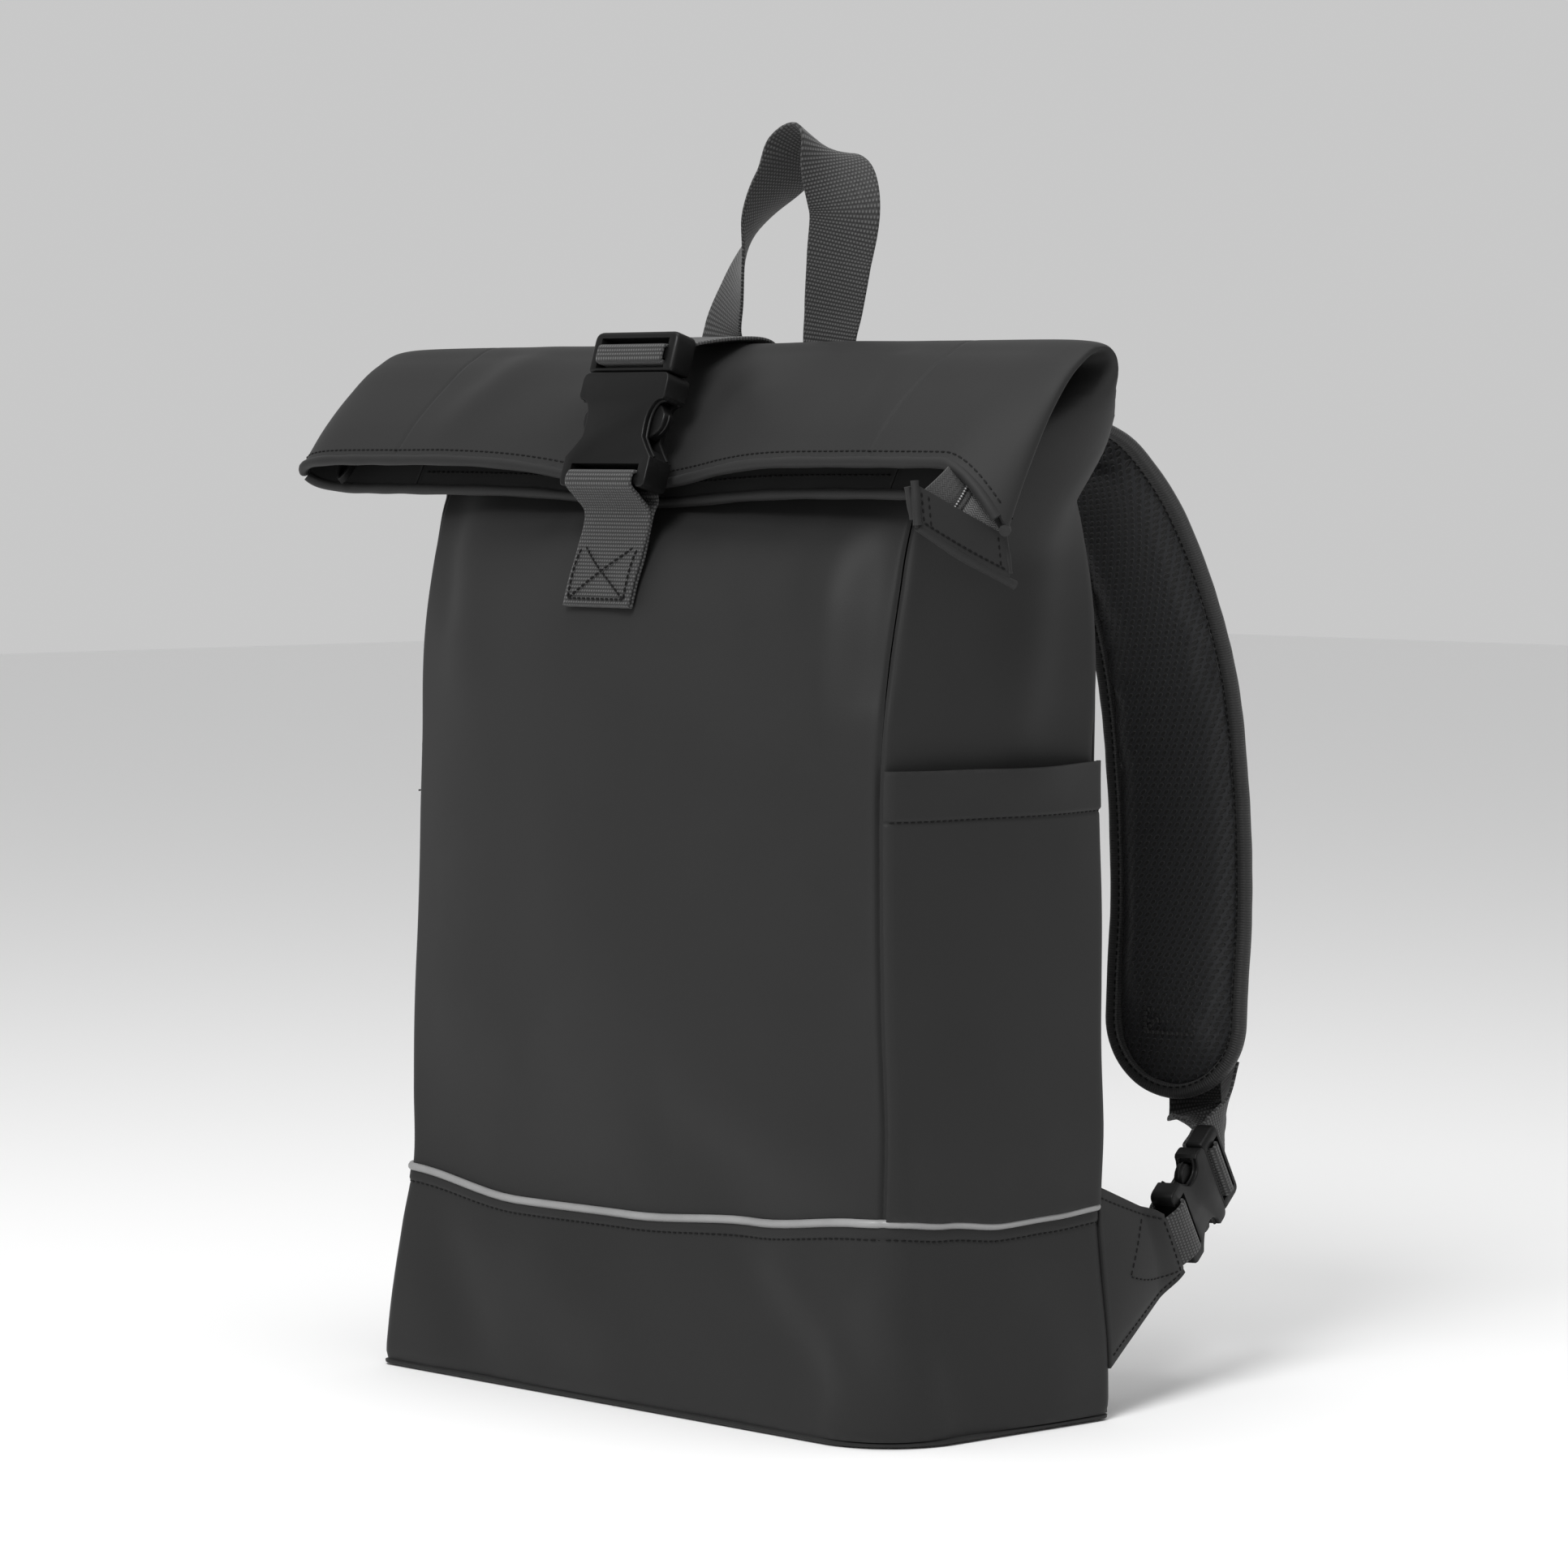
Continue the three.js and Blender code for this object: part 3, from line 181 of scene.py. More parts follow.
# Rows of the tube below the fold. up: share of the boot's height, or of the way from the
# boot to the fold's centre. wide: share of half the bag's width. front, back: 0 at the fold,
# 1 at half the bag's depth. flare: share of the way from the bag's to the folded width.
# near: how much rounder the front right corner is, as a share of its named size. The crowns,
# the corners and the wave are shares of their named sizes too.
TUBE_COLUMNS = ("part", "up", "wide", "front", "back", "flare", "corner", "near", "front_crown",
                "back_crown", "side_crown", "wave")
TUBE_ROWS = (
    ("boot", 0.00, BASE_WIDTH / BAG_WIDTH, 1.16, 0.98, 0, 1.0, 1.00, 0, 0, 0, 0),
    ("boot", 0.35, 1.062, 1.13, 1.01, 0, 1.0, 0.80, 0.10, 0.1, 0.5, 0),
    ("boot", 0.70, 1.035, 1.08, 1.02, 0, 1.0, 0.50, 0.10, 0.1, 0.5, 0.5),
    ("boot", 1.00, 1.012, 1.02, 1.03, 0, 1.0, 0.25, 0.05, 0.1, 0.2, 1),
    ("body", 0.10, 1.015, 1.01, 1.05, 0, 1.0, 0.10, 0.35, 0.8, 0.2, 0.5),
    ("body", 0.25, 1.00, 1.01, 1.06, 0, 1.0, 0, 0.75, 1.0, 0.1, 0),
    ("body", 0.40, 0.985, 0.99, 1.07, 0, 1.0, 0, 0.97, 1.0, 0.1, 0),
    ("body", 0.535, 0.985, 0.98, 1.07, 0, 1.0, 0, 1.05, 1.0, 0.3, 0),
    ("body", 0.655, 0.995, 0.92, 1.06, 0, 1.0, 0, 1.15, 1.0, 1.0, 0),
    ("body", 0.742, 1.00, 0.83, 1.00, 0.02, 1.0, 0, 1.10, 1.0, 1.1, 0),
    ("body", 0.792, 1.00, 0.77, 0.92, 0.10, 0.9, 0, 0.75, 0.8, 0.8, 0),
    ("body", 0.834, 1.00, 0.69, 0.81, 0.27, 0.6, 0, 0.18, 0.5, 0.4, 0),
    ("body", 0.875, 1.00, 0.55, 0.66, 0.48, 0.35, 0, 0.05, 0.3, 0, 0),
    ("body", 0.920, 1.00, 0.35, 0.46, 0.70, 0.15, 0, 0, 0.1, 0, 0),
    ("body", 0.964, 1.00, 0.145, 0.20, 0.90, 0, 0, 0, 0, 0, 0),
)

# Angles of the fold's rows, from the rear of the fold over its top to the front.
FOLD_ANGLES = (0, 35, 70, 100)

# Rows of the flap, as shares of its reach and drop. The back layer is the one on top.
FLAP_COLUMNS = ("back_reach", "back_drop", "front_reach", "front_drop", "pinch", "sag")
FLAP_ROWS = (
    (0.27, 0.12, 0.19, 0.29, 0.00, 0.05),
    (0.55, 0.39, 0.42, 0.58, 0.15, 0.30),
    (0.80, 0.69, 0.61, 0.93, 0.60, 0.70),
    (1.00, 1.00, 0.76, 1.29, 0.95, 1.00),
)
FOLD_CENTRE_Y = -FOLD_SET_BACK
FOLD_CENTRE_Z = FOLD_HEIGHT - FOLD_RADIUS


def tube_station(values):
    row = dict(zip(TUBE_COLUMNS, values))
    in_boot = row["part"] == "boot"
    height = BOOT_HEIGHT * row["up"] if in_boot else lerp(BOOT_HEIGHT, FOLD_CENTRE_Z, row["up"])
    return {
        "front_y": lerp(FOLD_CENTRE_Y + FOLD_INNER_RADIUS, -BAG_DEPTH / 2, row["front"]),
        "front_z": height,
        "back_y": lerp(FOLD_CENTRE_Y + FOLD_RADIUS, BAG_DEPTH / 2, row["back"]),
        "back_z": height,
        "wide": row["wide"] * BAG_WIDTH / 2,
        "flare": row["flare"] * (FOLDED_WIDTH - BAG_WIDTH) / 2,
        "corner": row["corner"] * CORNER_RADIUS,
        "near": row["near"] * NEAR_RADIUS,
        "front_crown": row["front_crown"] * FRONT_CROWN,
        "back_crown": row["back_crown"] * BACK_CROWN,
        "side_crown": row["side_crown"] * SIDE_CROWN,
        "wave": row["wave"] * PIPING_WAVE,
        "pinch": 0,
        "sag": 0,
    }


def flat_station(front, back, pinch, sag):
    return {
        "front_y": front[0],
        "front_z": front[1],
        "back_y": back[0],
        "back_z": back[1],
        "wide": BAG_WIDTH / 2,
        "flare": (FOLDED_WIDTH - BAG_WIDTH) / 2,
        "corner": 0,
        "near": 0,
        "front_crown": 0,
        "back_crown": 0,
        "side_crown": 0,
        "wave": 0,
        "pinch": pinch * STRAP_PINCH,
        "sag": sag * FLAP_SAG,
    }


def fold_station(degrees):
    angle = math.radians(degrees)

    def on_arc(radius):
        return (FOLD_CENTRE_Y + radius * math.cos(angle), FOLD_CENTRE_Z + radius * math.sin(angle))

    return flat_station(on_arc(FOLD_INNER_RADIUS), on_arc(FOLD_RADIUS), 0, 0)


def flap_station(values):
    row = dict(zip(FLAP_COLUMNS, values))

    def hangs(layer):
        return (FOLD_CENTRE_Y - row[layer + "_reach"] * FLAP_REACH,
                FOLD_HEIGHT - row[layer + "_drop"] * FLAP_DROP)

    return flat_station(hangs("front"), hangs("back"), row["pinch"], row["sag"])


STATIONS = ([tube_station(row) for row in TUBE_ROWS]
            + [fold_station(angle) for angle in FOLD_ANGLES]
            + [flap_station(row) for row in FLAP_ROWS])
KEYS = tuple(STATIONS[0])


def distances_along():
    along = [0.0]
    for a, b in zip(STATIONS, STATIONS[1:]):
        dy = (b["front_y"] + b["back_y"] - a["front_y"] - a["back_y"]) / 2
        dz = (b["front_z"] + b["back_z"] - a["front_z"] - a["back_z"]) / 2
        along.append(along[-1] + math.hypot(dy, dz))
    return along


ALONG = distances_along()
SEAM_ROW = ALONG[3]
FOLD_START = ALONG[len(TUBE_ROWS)]
FOLD_END = ALONG[len(TUBE_ROWS) + len(FOLD_ANGLES) - 1]
MOUTH_ROW = ALONG[-1]


@functools.lru_cache(None)
def slope(key, i):
    last = len(STATIONS) - 1
    if i in (0, last):
        a, b = (0, 1) if i == 0 else (last - 1, last)
        return (STATIONS[b][key] - STATIONS[a][key]) / (ALONG[b] - ALONG[a])
    before, after = ALONG[i] - ALONG[i - 1], ALONG[i + 1] - ALONG[i]
    rise = (STATIONS[i][key] - STATIONS[i - 1][key]) / before
    following = (STATIONS[i + 1][key] - STATIONS[i][key]) / after
    return (rise * after + following * before) / (before + after)


@functools.lru_cache(None)
def station_at(distance):
    i = len(ALONG) - 2
    while i > 0 and ALONG[i] > distance:
        i -= 1
    span = ALONG[i + 1] - ALONG[i]
    t = (distance - ALONG[i]) / span
    t2, t3 = t * t, t * t * t
    at = {}
    for key in KEYS:
        a, b = STATIONS[i][key], STATIONS[i + 1][key]
        ma, mb = slope(key, i) * span, slope(key, i + 1) * span
        at[key] = ((2 * t3 - 3 * t2 + 1) * a + (t3 - 2 * t2 + t) * ma
                   + (3 * t2 - 2 * t3) * b + (t3 - t2) * mb)
    at["corner"] = max(0, at["corner"])
    at["near"] = max(0, at["near"])
    at["half"] = math.hypot(at["back_y"] - at["front_y"], at["back_z"] - at["front_z"]) / 2
    return at


def distance_at_height(height):
    low, high = 0.0, FOLD_START
    for _ in range(30):
        middle = (low + high) / 2
        if station_at(middle)["front_z"] < height:
            low = middle
        else:
            high = middle
    return low


CORNER_SHARE = 1 - math.sqrt(0.5)


def corner_drop(distance, half, radius):
    past = clamp(distance - (half - radius), 0, radius)
    return radius - math.sqrt(radius * radius - past * past)


def on_flat(at, across, facing):
    corner = at["corner"] + (at["near"] if facing < 0 < across else 0)
    x = -facing * across * (at["wide"] - CORNER_SHARE * corner)
    crown = at["front_crown"] if facing < 0 else at["back_crown"]
    pinch = at["pinch"] * math.exp(-((x / STRAP_PINCH_REACH) ** 2))
    dip = pinch * 0.45 if facing < 0 else -pinch
    out = at["half"] - corner_drop(abs(x), at["wide"], corner)
    return x, facing * (out + crown * (1 - across * across) + dip)


# Folded flat the gusset runs almost straight out to its tip, so its position is read in
# steps that suit both forms: -1 at the front seam, 0 at the tip, 1 at the rear.
def on_gusset(at, position, side):
    half = at["half"]
    power = clamp(2 * at["flare"] / half, 1, 6)
    across = math.copysign(1 - (1 - abs(position)) ** power, position)
    corner = at["corner"] + (at["near"] if side > 0 > position else 0)
    reach = across * (half - CORNER_SHARE * corner)
    bulge = max(0, 1 - across * across)
    x = (at["wide"] - corner_drop(abs(reach), half, corner)
         + at["side_crown"] * bulge + at["flare"] * bulge ** (1 / power))
    return side * x, side * reach


GUSSET_STEPS = 60


@functools.lru_cache(None)
def gusset_lengths(distance, side):
    at = station_at(distance)
    lengths = [0.0]
    last = on_gusset(at, -1, side)
    for i in range(1, GUSSET_STEPS + 1):
        here = on_gusset(at, 2 * i / GUSSET_STEPS - 1, side)
        lengths.append(lengths[-1] + math.hypot(here[0] - last[0], here[1] - last[1]))
        last = here
    return lengths


def even_gusset(distance, share, side):
    lengths = gusset_lengths(distance, side)
    target = clamp(share, 0, 1) * lengths[-1]
    i = 1
    while i < GUSSET_STEPS and lengths[i] < target:
        i += 1
    within = (target - lengths[i - 1]) / (lengths[i] - lengths[i - 1])
    return 2 * (i - 1 + within) / GUSSET_STEPS - 1


# The seam's height over the base wanders. Shares of the wave, from one corner to the next.
WAVE_ROWS = {
    "front": (0, -0.95, -0.85, -0.35, 0.4),
    "right": (0.4, 0.05, -0.3, -0.2, 0),
    "back": (0, 0, 0, 0, 0),
    "left": (0, 0, 0, 0, 0),
}


def wave_at(panel, share):
    row = WAVE_ROWS[panel]
    place = clamp(share, 0, 1) * (len(row) - 1)
    i = min(int(place), len(row) - 2)
    return lerp(row[i], row[i + 1], smooth(place - i, 0, 1))


def sag_at(at, x):
    return at["sag"] * clamp((x - SAG_START) / (FOLDED_WIDTH / 2 - SAG_START), 0, 1) ** 1.8


# A point of the bag's outside. share runs along the panel, anticlockwise seen from above.
def on_bag(panel, distance, share):
    at = station_at(distance)
    if panel in ("front", "back"):
        x, out = on_flat(at, 2 * share - 1, -1 if panel == "front" else 1)
    else:
        side = 1 if panel == "right" else -1
        x, out = on_gusset(at, even_gusset(distance, share, side), side)
    reach = out / at["half"] / 2
    y = (at["front_y"] + at["back_y"]) / 2 + reach * (at["back_y"] - at["front_y"])
    z = (at["front_z"] + at["back_z"]) / 2 + reach * (at["back_z"] - at["front_z"])
    return Vector((x, y, z + at["wave"] * wave_at(panel, share) - sag_at(at, x)))


# Soft folds of the cloth: a ridge from one place to another. across: 0 and 1 are the front
# panel's seams, and a gusset's share goes on past them. up: share of the way from the base
# to the fold, over 1 on the flap. width, depth: how wide the ridge is and how far it stands
# out, as shares of the bag's depth.
FOLD_COLUMNS = ("across", "up", "to_across", "to_up", "width", "depth")
FOLDS = (
    (0.66, 0.32, 0.98, 0.22, 0.20, 0.020),
    (0.60, 0.27, 0.95, 0.15, 0.13, -0.016),
    (0.90, 0.83, 0.92, 0.64, 0.10, 0.030),
    (0.975, 0.84, 0.99, 0.70, 0.09, -0.026),
    (0.10, 0.86, 0.16, 0.70, 0.16, 0.014),
    (0.03, 0.88, 0.10, 0.76, 0.10, -0.016),
    (1.07, 0.90, 1.12, 0.72, 0.16, -0.030),
    (1.26, 0.92, 1.22, 0.62, 0.16, 0.030),
    (1.10, 0.60, 1.30, 0.56, 0.12, -0.012),
    (1.12, 0.36, 1.32, 0.24, 0.14, 0.016),
    (0.70, 0.165, 0.92, 0.055, 0.14, -0.040),
    (0.82, 0.165, 1.02, 0.045, 0.16, 0.042),
    (0.30, 0.14, 0.52, 0.05, 0.20, 0.022),
    (0.08, 0.155, 0.20, 0.04, 0.14, -0.020),
    (1.06, 0.13, 1.14, 0.03, 0.12, -0.022),
    (1.20, 0.15, 1.32, 0.04, 0.16, 0.020),
    (-0.10, 0.15, -0.26, 0.05, 0.18, 0.022),
    (-0.14, 0.80, -0.20, 0.50, 0.20, 0.024),
)
FLAP_FOLDS = (
    (0.60, 1.10, 0.64, 1.19, 0.13, -0.020),
    (0.72, 1.08, 0.80, 1.22, 0.26, 0.015),
    (0.40, 1.10, 0.30, 1.26, 0.18, 0.030),
    (0.14, 1.07, 0.08, 1.20, 0.12, 0.022),
    (0.93, 1.07, 0.99, 1.20, 0.10, 0.016),
)


def ridge(row, across, up):
    fold = dict(zip(FOLD_COLUMNS, row))
    start = Vector((fold["across"] * BAG_WIDTH, fold["up"] * FOLD_START))
    run = Vector((fold["to_across"] * BAG_WIDTH, fold["to_up"] * FOLD_START)) - start
    offset = Vector((across, up)) - start
    t = offset.dot(run) / run.length_squared
    aside = (offset - run * clamp(t, 0, 1)).length / (fold["width"] * BAG_DEPTH)
    if aside > 2.6:
        return 0
    fade = smooth(t, -0.25, 0.25) * (1 - smooth(t, 0.75, 1.25))
    return fold["depth"] * BAG_DEPTH * math.exp(-aside * aside) * (0.35 + 0.65 * fade)


PANEL_STARTS = {
    "front": 0,
    "right": BAG_WIDTH,
    "back": BAG_WIDTH + BAG_DEPTH,
    "left": -BAG_DEPTH,
}
PANEL_SPANS = {"front": BAG_WIDTH, "right": BAG_DEPTH, "back": BAG_WIDTH, "left": BAG_DEPTH}


# How far the cloth stands off its plain form: folds, a slow unevenness, and the dip where a
# panel turns into its seams.
def relief(panel, distance, share):
    span = PANEL_SPANS[panel]
    on_flap = distance >= FOLD_START * 0.98
    behind = panel == "back" or (panel == "right" and share > 0.999)
    if on_flap:
        table = () if panel == "front" else FLAP_FOLDS
        still = 1 - 0.85 * smooth(distance, MOUTH_ROW - 0.040, MOUTH_ROW)
        place = {
            "front": share * span,
            "back": BAG_WIDTH - share * span,
            "right": BAG_WIDTH + (1 - share) * span,
            "left": -share * span,
        }[panel]
    else:
        table = () if behind else FOLDS
        still = 1
        place = PANEL_STARTS[panel] + share * span
    amount = sum(ridge(row, place, distance) * still for row in table)
    spot = Vector((place, distance, 1.7 if panel == "back" and not on_flap else 0.3)) * 17
    calm = 1 - smooth(distance, FOLD_START * 0.93, FOLD_START)
    amount += 0.0011 * noise.noise(spot) * (0.35 + 0.65 * calm)
    aside = min(share, 1 - share) * span
    dip = math.exp(-((aside / SEAM_HALF) ** 2))
    return amount - SEAM_DIP * (0.45 + 0.55 * calm) * dip


def steps_between(start, end, step):
    return spread(max(1, round((end - start) / step)), start, end)


def marks_in(runs, start, end):
    """Marks from start to end, closer or wider apart in each (low, high, step) run."""
    marks = [start]
    for low, high, step in runs:
        low, high = max(low, start), min(high, end)
        if high > low:
            marks += steps_between(low, high, step)[1:]
    return marks


def cloth_rows(start, end):
    runs = (
        (0, FOLD_START - 0.012, 0.0034),
        (FOLD_START - 0.012, FOLD_END + 0.004, 0.0013),
        (FOLD_END + 0.004, MOUTH_ROW, 0.0022),
    )
    return marks_in(runs, start, end)


def cloth_shares(panel):
    span = PANEL_SPANS[panel]
    edge, turn, tip = 0.004 / span, 0.030 / span, 0.05
    fine = 0.0006 / span
    if panel in ("front", "back"):
        middle, wide = 0.002 / span, 0.0042 / span
        runs = ((0, edge, fine), (edge, turn, middle), (turn, 1 - turn, wide),
                (1 - turn, 1 - edge, middle), (1 - edge, 1, fine))
    else:
        middle, close = 0.0024 / span, 0.0009 / span
        runs = ((0, edge, fine), (edge, 0.5 - tip, middle), (0.5 - tip, 0.5 + tip, close),
                (0.5 + tip, 1 - edge, middle), (1 - edge, 1, fine))
    return marks_in(runs, 0.0, 1.0)


def columns_of(panel, places):
    return [(panel, share) for share in places]


def grid_normals(grid):
    points = np.array([[tuple(spot) for spot in row] for row in grid])
    across = np.gradient(points, axis=1)
    up = np.gradient(points, axis=0)
    normals = np.cross(across, up)
    lengths = np.maximum(np.linalg.norm(normals, axis=2, keepdims=True), 1e-12)
    return points, normals / lengths


def no_lift(panel, distance, share):
    return 0


# A grid of points on the cloth's outside, each standing off it by its lift.
def cloth_grid(columns, rows, lift=no_lift):
    base = [[on_bag(panel, distance, share) for panel, share in columns] for distance in rows]
    points, normals = grid_normals(base)
    amounts = np.array([[relief(panel, distance, share) + lift(panel, distance, share)
                         for panel, share in columns] for distance in rows])
    return points + normals * amounts[:, :, None]


def outward_at(panel, distance, share):
    step = 0.004
    low, high = max(0, distance - 0.0005), min(MOUTH_ROW, distance + 0.0005)
    left, right = max(0, share - step), min(1, share + step)
    across = on_bag(panel, distance, right) - on_bag(panel, distance, left)
    up = on_bag(panel, high, share) - on_bag(panel, low, share)
    return across.cross(up).normalized()


# A point of the plain form, and one on the cloth with its folds.
def standing_off(panel, distance, share, amount):
    return on_bag(panel, distance, share) + outward_at(panel, distance, share) * amount


def on_cloth(panel, distance, share, amount=0.0):
    return standing_off(panel, distance, share, relief(panel, distance, share) + amount)


# Curves through points, read by a share of the way
def curve_terms(x0, x1, t0, t1):
    return x0, t0, 3 * (x1 - x0) - 2 * t0 - t1, 2 * (x0 - x1) + t0 + t1


def along_points(points, t, even=False):
    last = len(points) - 1
    place = last * t
    i = min(int(place), last - 1)
    weight = place - i
    p1, p2 = points[i], points[i + 1]
    p0 = points[i - 1] if i > 0 else p1 * 2 - p2
    p3 = points[i + 2] if i + 2 <= last else p2 * 2 - p1
    if even:
        t1, t2 = (p2 - p0) * 0.5, (p3 - p1) * 0.5
    else:
        d1 = math.sqrt((p2 - p1).length) or 1
        d0 = math.sqrt((p1 - p0).length) or d1
        d2 = math.sqrt((p3 - p2).length) or d1
        t1 = ((p1 - p0) / d0 - (p2 - p0) / (d0 + d1) + (p2 - p1) / d1) * d1
        t2 = ((p2 - p1) / d1 - (p3 - p1) / (d1 + d2) + (p3 - p2) / d2) * d1
    c0, c1, c2, c3 = curve_terms(p1, p2, t1, t2)
    return c0 + c1 * weight + c2 * weight ** 2 + c3 * weight ** 3


# Spots of a band: where its middle is and which way its width runs there, laid out at even
# steps of its own length.
def smooth_spots(spots, step):
    places = [place for place, _ in spots]
    turns = [turn for _, turn in spots]
    fine = 40 * len(spots)
    samples = [along_points(places, i / fine) for i in range(fine + 1)]
    lengths = [0.0]
    for a, b in zip(samples, samples[1:]):
        lengths.append(lengths[-1] + (b - a).length)
    count = max(2, round(lengths[-1] / step))
    result = []
    i = 0
    for n in range(count + 1):
        target = lengths[-1] * n / count
        while i < fine - 1 and lengths[i + 1] < target:
            i += 1
        within = clamp((target - lengths[i]) / max(lengths[i + 1] - lengths[i], 1e-9), 0, 1)
        t = (i + within) / fine
        result.append((along_points(places, t), along_points(turns, t, even=True).normalized()))
    return result, lengths[-1]


# Making and finishing meshes
def clear_selection():
    bpy.ops.object.select_all(action="DESELECT")


def only(piece):
    clear_selection()
    piece.select_set(True)
    bpy.context.view_layer.objects.active = piece


def vertex_points(data):
    flat = np.zeros(len(data.vertices) * 3)
    data.vertices.foreach_get("co", flat)
    return flat.reshape(-1, 3)


def corner_vertices(data):
    """The vertex at each corner of the faces."""
    corners = np.zeros(len(data.loops), dtype=np.int32)
    data.loops.foreach_get("vertex_index", corners)
    return corners


def sheet(name, points, uv):
    """A grid of quads laid out on points, with its uv map in metres."""
    points = np.asarray(points)
    rows, columns = points.shape[:2]
    clear_selection()
    bpy.ops.mesh.primitive_grid_add(x_subdivisions=columns - 1, y_subdivisions=rows - 1, size=1)
    piece = bpy.context.object
    piece.name = name
    data = piece.data
    data.name = name
    flat = vertex_points(data)
    i = np.rint((flat[:, 1] + 0.5) * (rows - 1)).astype(int)
    j = np.rint((flat[:, 0] + 0.5) * (columns - 1)).astype(int)
    data.vertices.foreach_set("co", points[i, j].astype(np.float32).ravel())
    corners = corner_vertices(data)
    places = np.array([[uv(r, c) for c in range(columns)] for r in range(rows)])
    layer = data.uv_layers[0]
    layer.data.foreach_set("uv", places[i[corners], j[corners]].astype(np.float32).ravel())
    layer.name = "weave"
    data.update()
    return piece


def copy_of(piece, name):
    """A copy of a piece with a mesh of its own."""
    copy = piece.copy()
    copy.data = piece.data.copy()
    copy.name = name
    bpy.context.scene.collection.objects.link(copy)
    return copy


def apply_modifier(piece, kind, **settings):
    only(piece)
    modifier = piece.modifiers.new(kind.lower(), kind)
    for key, value in settings.items():
        setattr(modifier, key, value)
    bpy.ops.object.modifier_apply(modifier=modifier.name)


def thicken(piece, thickness, offset=-1.0):
    apply_modifier(piece, "SOLIDIFY", thickness=thickness, offset=offset)


def turn_faces_out(piece):
    only(piece)
    bpy.ops.object.mode_set(mode="EDIT")
    bpy.ops.mesh.select_all(action="SELECT")
    bpy.ops.mesh.normals_make_consistent(inside=False)
    bpy.ops.object.mode_set(mode="OBJECT")


def close_tube(piece):
    """Joins a grid's first and last columns and closes its two ends."""
    only(piece)
    bpy.ops.object.mode_set(mode="EDIT")
    bpy.ops.mesh.select_all(action="SELECT")
    bpy.ops.mesh.remove_doubles(threshold=1e-6)
    bpy.ops.mesh.fill_holes(sides=0)
    bpy.ops.object.mode_set(mode="OBJECT")
    turn_faces_out(piece)


# How much each vertex stands out as an edge. The finishes make such edges lighter: lighter from
# rubbing on the cloth and piping, a painted highlight on the moulded parts.
def mark_edges(piece):
    data = piece.data
    points = vertex_points(data)
    normals = np.array([tuple(vertex.normal) for vertex in data.vertices])
    ends = np.zeros(len(data.edges) * 2, dtype=np.int32)
    data.edges.foreach_get("vertices", ends)
    a, b = ends.reshape(-1, 2).T
    run = points[b] - points[a]
    length = np.maximum(np.linalg.norm(run, axis=1), 1e-7)
    bend = np.zeros(len(points))
    seen = np.zeros(len(points))
    for start, way in ((a, 1), (b, -1)):
        rise = -(way * run * normals[start]).sum(1) / length
        np.add.at(bend, start, rise)
        np.add.at(seen, start, 1)
    bend = np.clip(bend / np.maximum(seen, 1) * 2.2, 0, 1)
    layer = data.attributes.new("edge", "FLOAT", "POINT")
    layer.data.foreach_set("value", bend.astype(np.float32))


def finish(piece, slot, *nodes, material=None, shade=50):
    only(piece)
    bpy.ops.object.shade_smooth_by_angle(angle=math.radians(shade))
    mark_edges(piece)
    piece.data.materials.clear()
    piece.data.materials.append(MATERIALS[material or slot])
    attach(piece, "root")
    if nodes:
        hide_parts(*nodes)
    return piece


def tube(name, points, radius, sides=10):
    """A closed cord of round section along points."""
    rings = []
    count = len(points)
    side_way = None
    for n, spot in enumerate(points):
        forward = (points[min(n + 1, count - 1)] - points[max(n - 1, 0)]).normalized()
        if side_way is None:
            side_way = forward.orthogonal().normalized()
        side_way = (side_way - forward * side_way.dot(forward)).normalized()
        up_way = forward.cross(side_way)
        size = radius(n / (count - 1)) if callable(radius) else radius
        rings.append([tuple(spot + side_way * math.cos(a) * size + up_way * math.sin(a) * size)
                      for a in spread(sides, 0, 2 * math.pi)])
    total = sum((b - a).length for a, b in zip(points, points[1:]))
    piece = sheet(name, rings, lambda r, c: (c / sides * 0.01, r / (count - 1) * total))
    close_tube(piece)
    return piece


# The section of a woven band: flat faces, rounded edges. across, face: shares of the halves.
BAND_SECTION = ((-1, -0.45), (-0.975, -0.9), (-0.93, -1), (-0.62, -1), (-0.31, -1), (0, -1),
                (0.31, -1), (0.62, -1), (0.93, -1), (0.975, -0.9), (1, -0.45),
                (1, 0.45), (0.975, 0.9), (0.93, 1), (0.62, 1), (0.31, 1), (0, 1),
                (-0.31, 1), (-0.62, 1), (-0.93, 1), (-0.975, 0.9), (-1, 0.45), (-1, -0.45))
RIB_PITCH = 0.0016
RIB_HEIGHT = 0.00016


def frames_along(spots):
    last = len(spots) - 1
    for n, (place, turn) in enumerate(spots):
        forward = (spots[min(n + 1, last)][0] - spots[max(n - 1, 0)][0]).normalized()
        across = (turn - forward * turn.dot(forward)).normalized()
        yield place, across, across.cross(forward).normalized()


def webbing_band(name, spots, width, ribs=True, thickness=WEBBING_THICKNESS):
    """A woven band with real ribs across it."""
    step = RIB_PITCH / 4 if ribs else 0.0016
    fine, length = smooth_spots(spots, step)
    rings = []
    for n, (place, across, face) in enumerate(frames_along(fine)):
        rib = RIB_HEIGHT * (math.cos(math.pi * n / 2) * 0.5 - 0.5) if ribs else 0
        rings.append([tuple(place + across * (a * width / 2)
                            + face * (f * (thickness / 2 + rib * (1 - a ** 8))))
                      for a, f in BAND_SECTION])
    piece = sheet(name, rings, lambda r, c: (
        BAND_SECTION[c][0] * width / 2, length * r / (len(rings) - 1)))
    close_tube(piece)
    return piece


def lay_webbing(name, node, spots, width):
    finish(webbing_band(name, spots, width), "webbing", node)


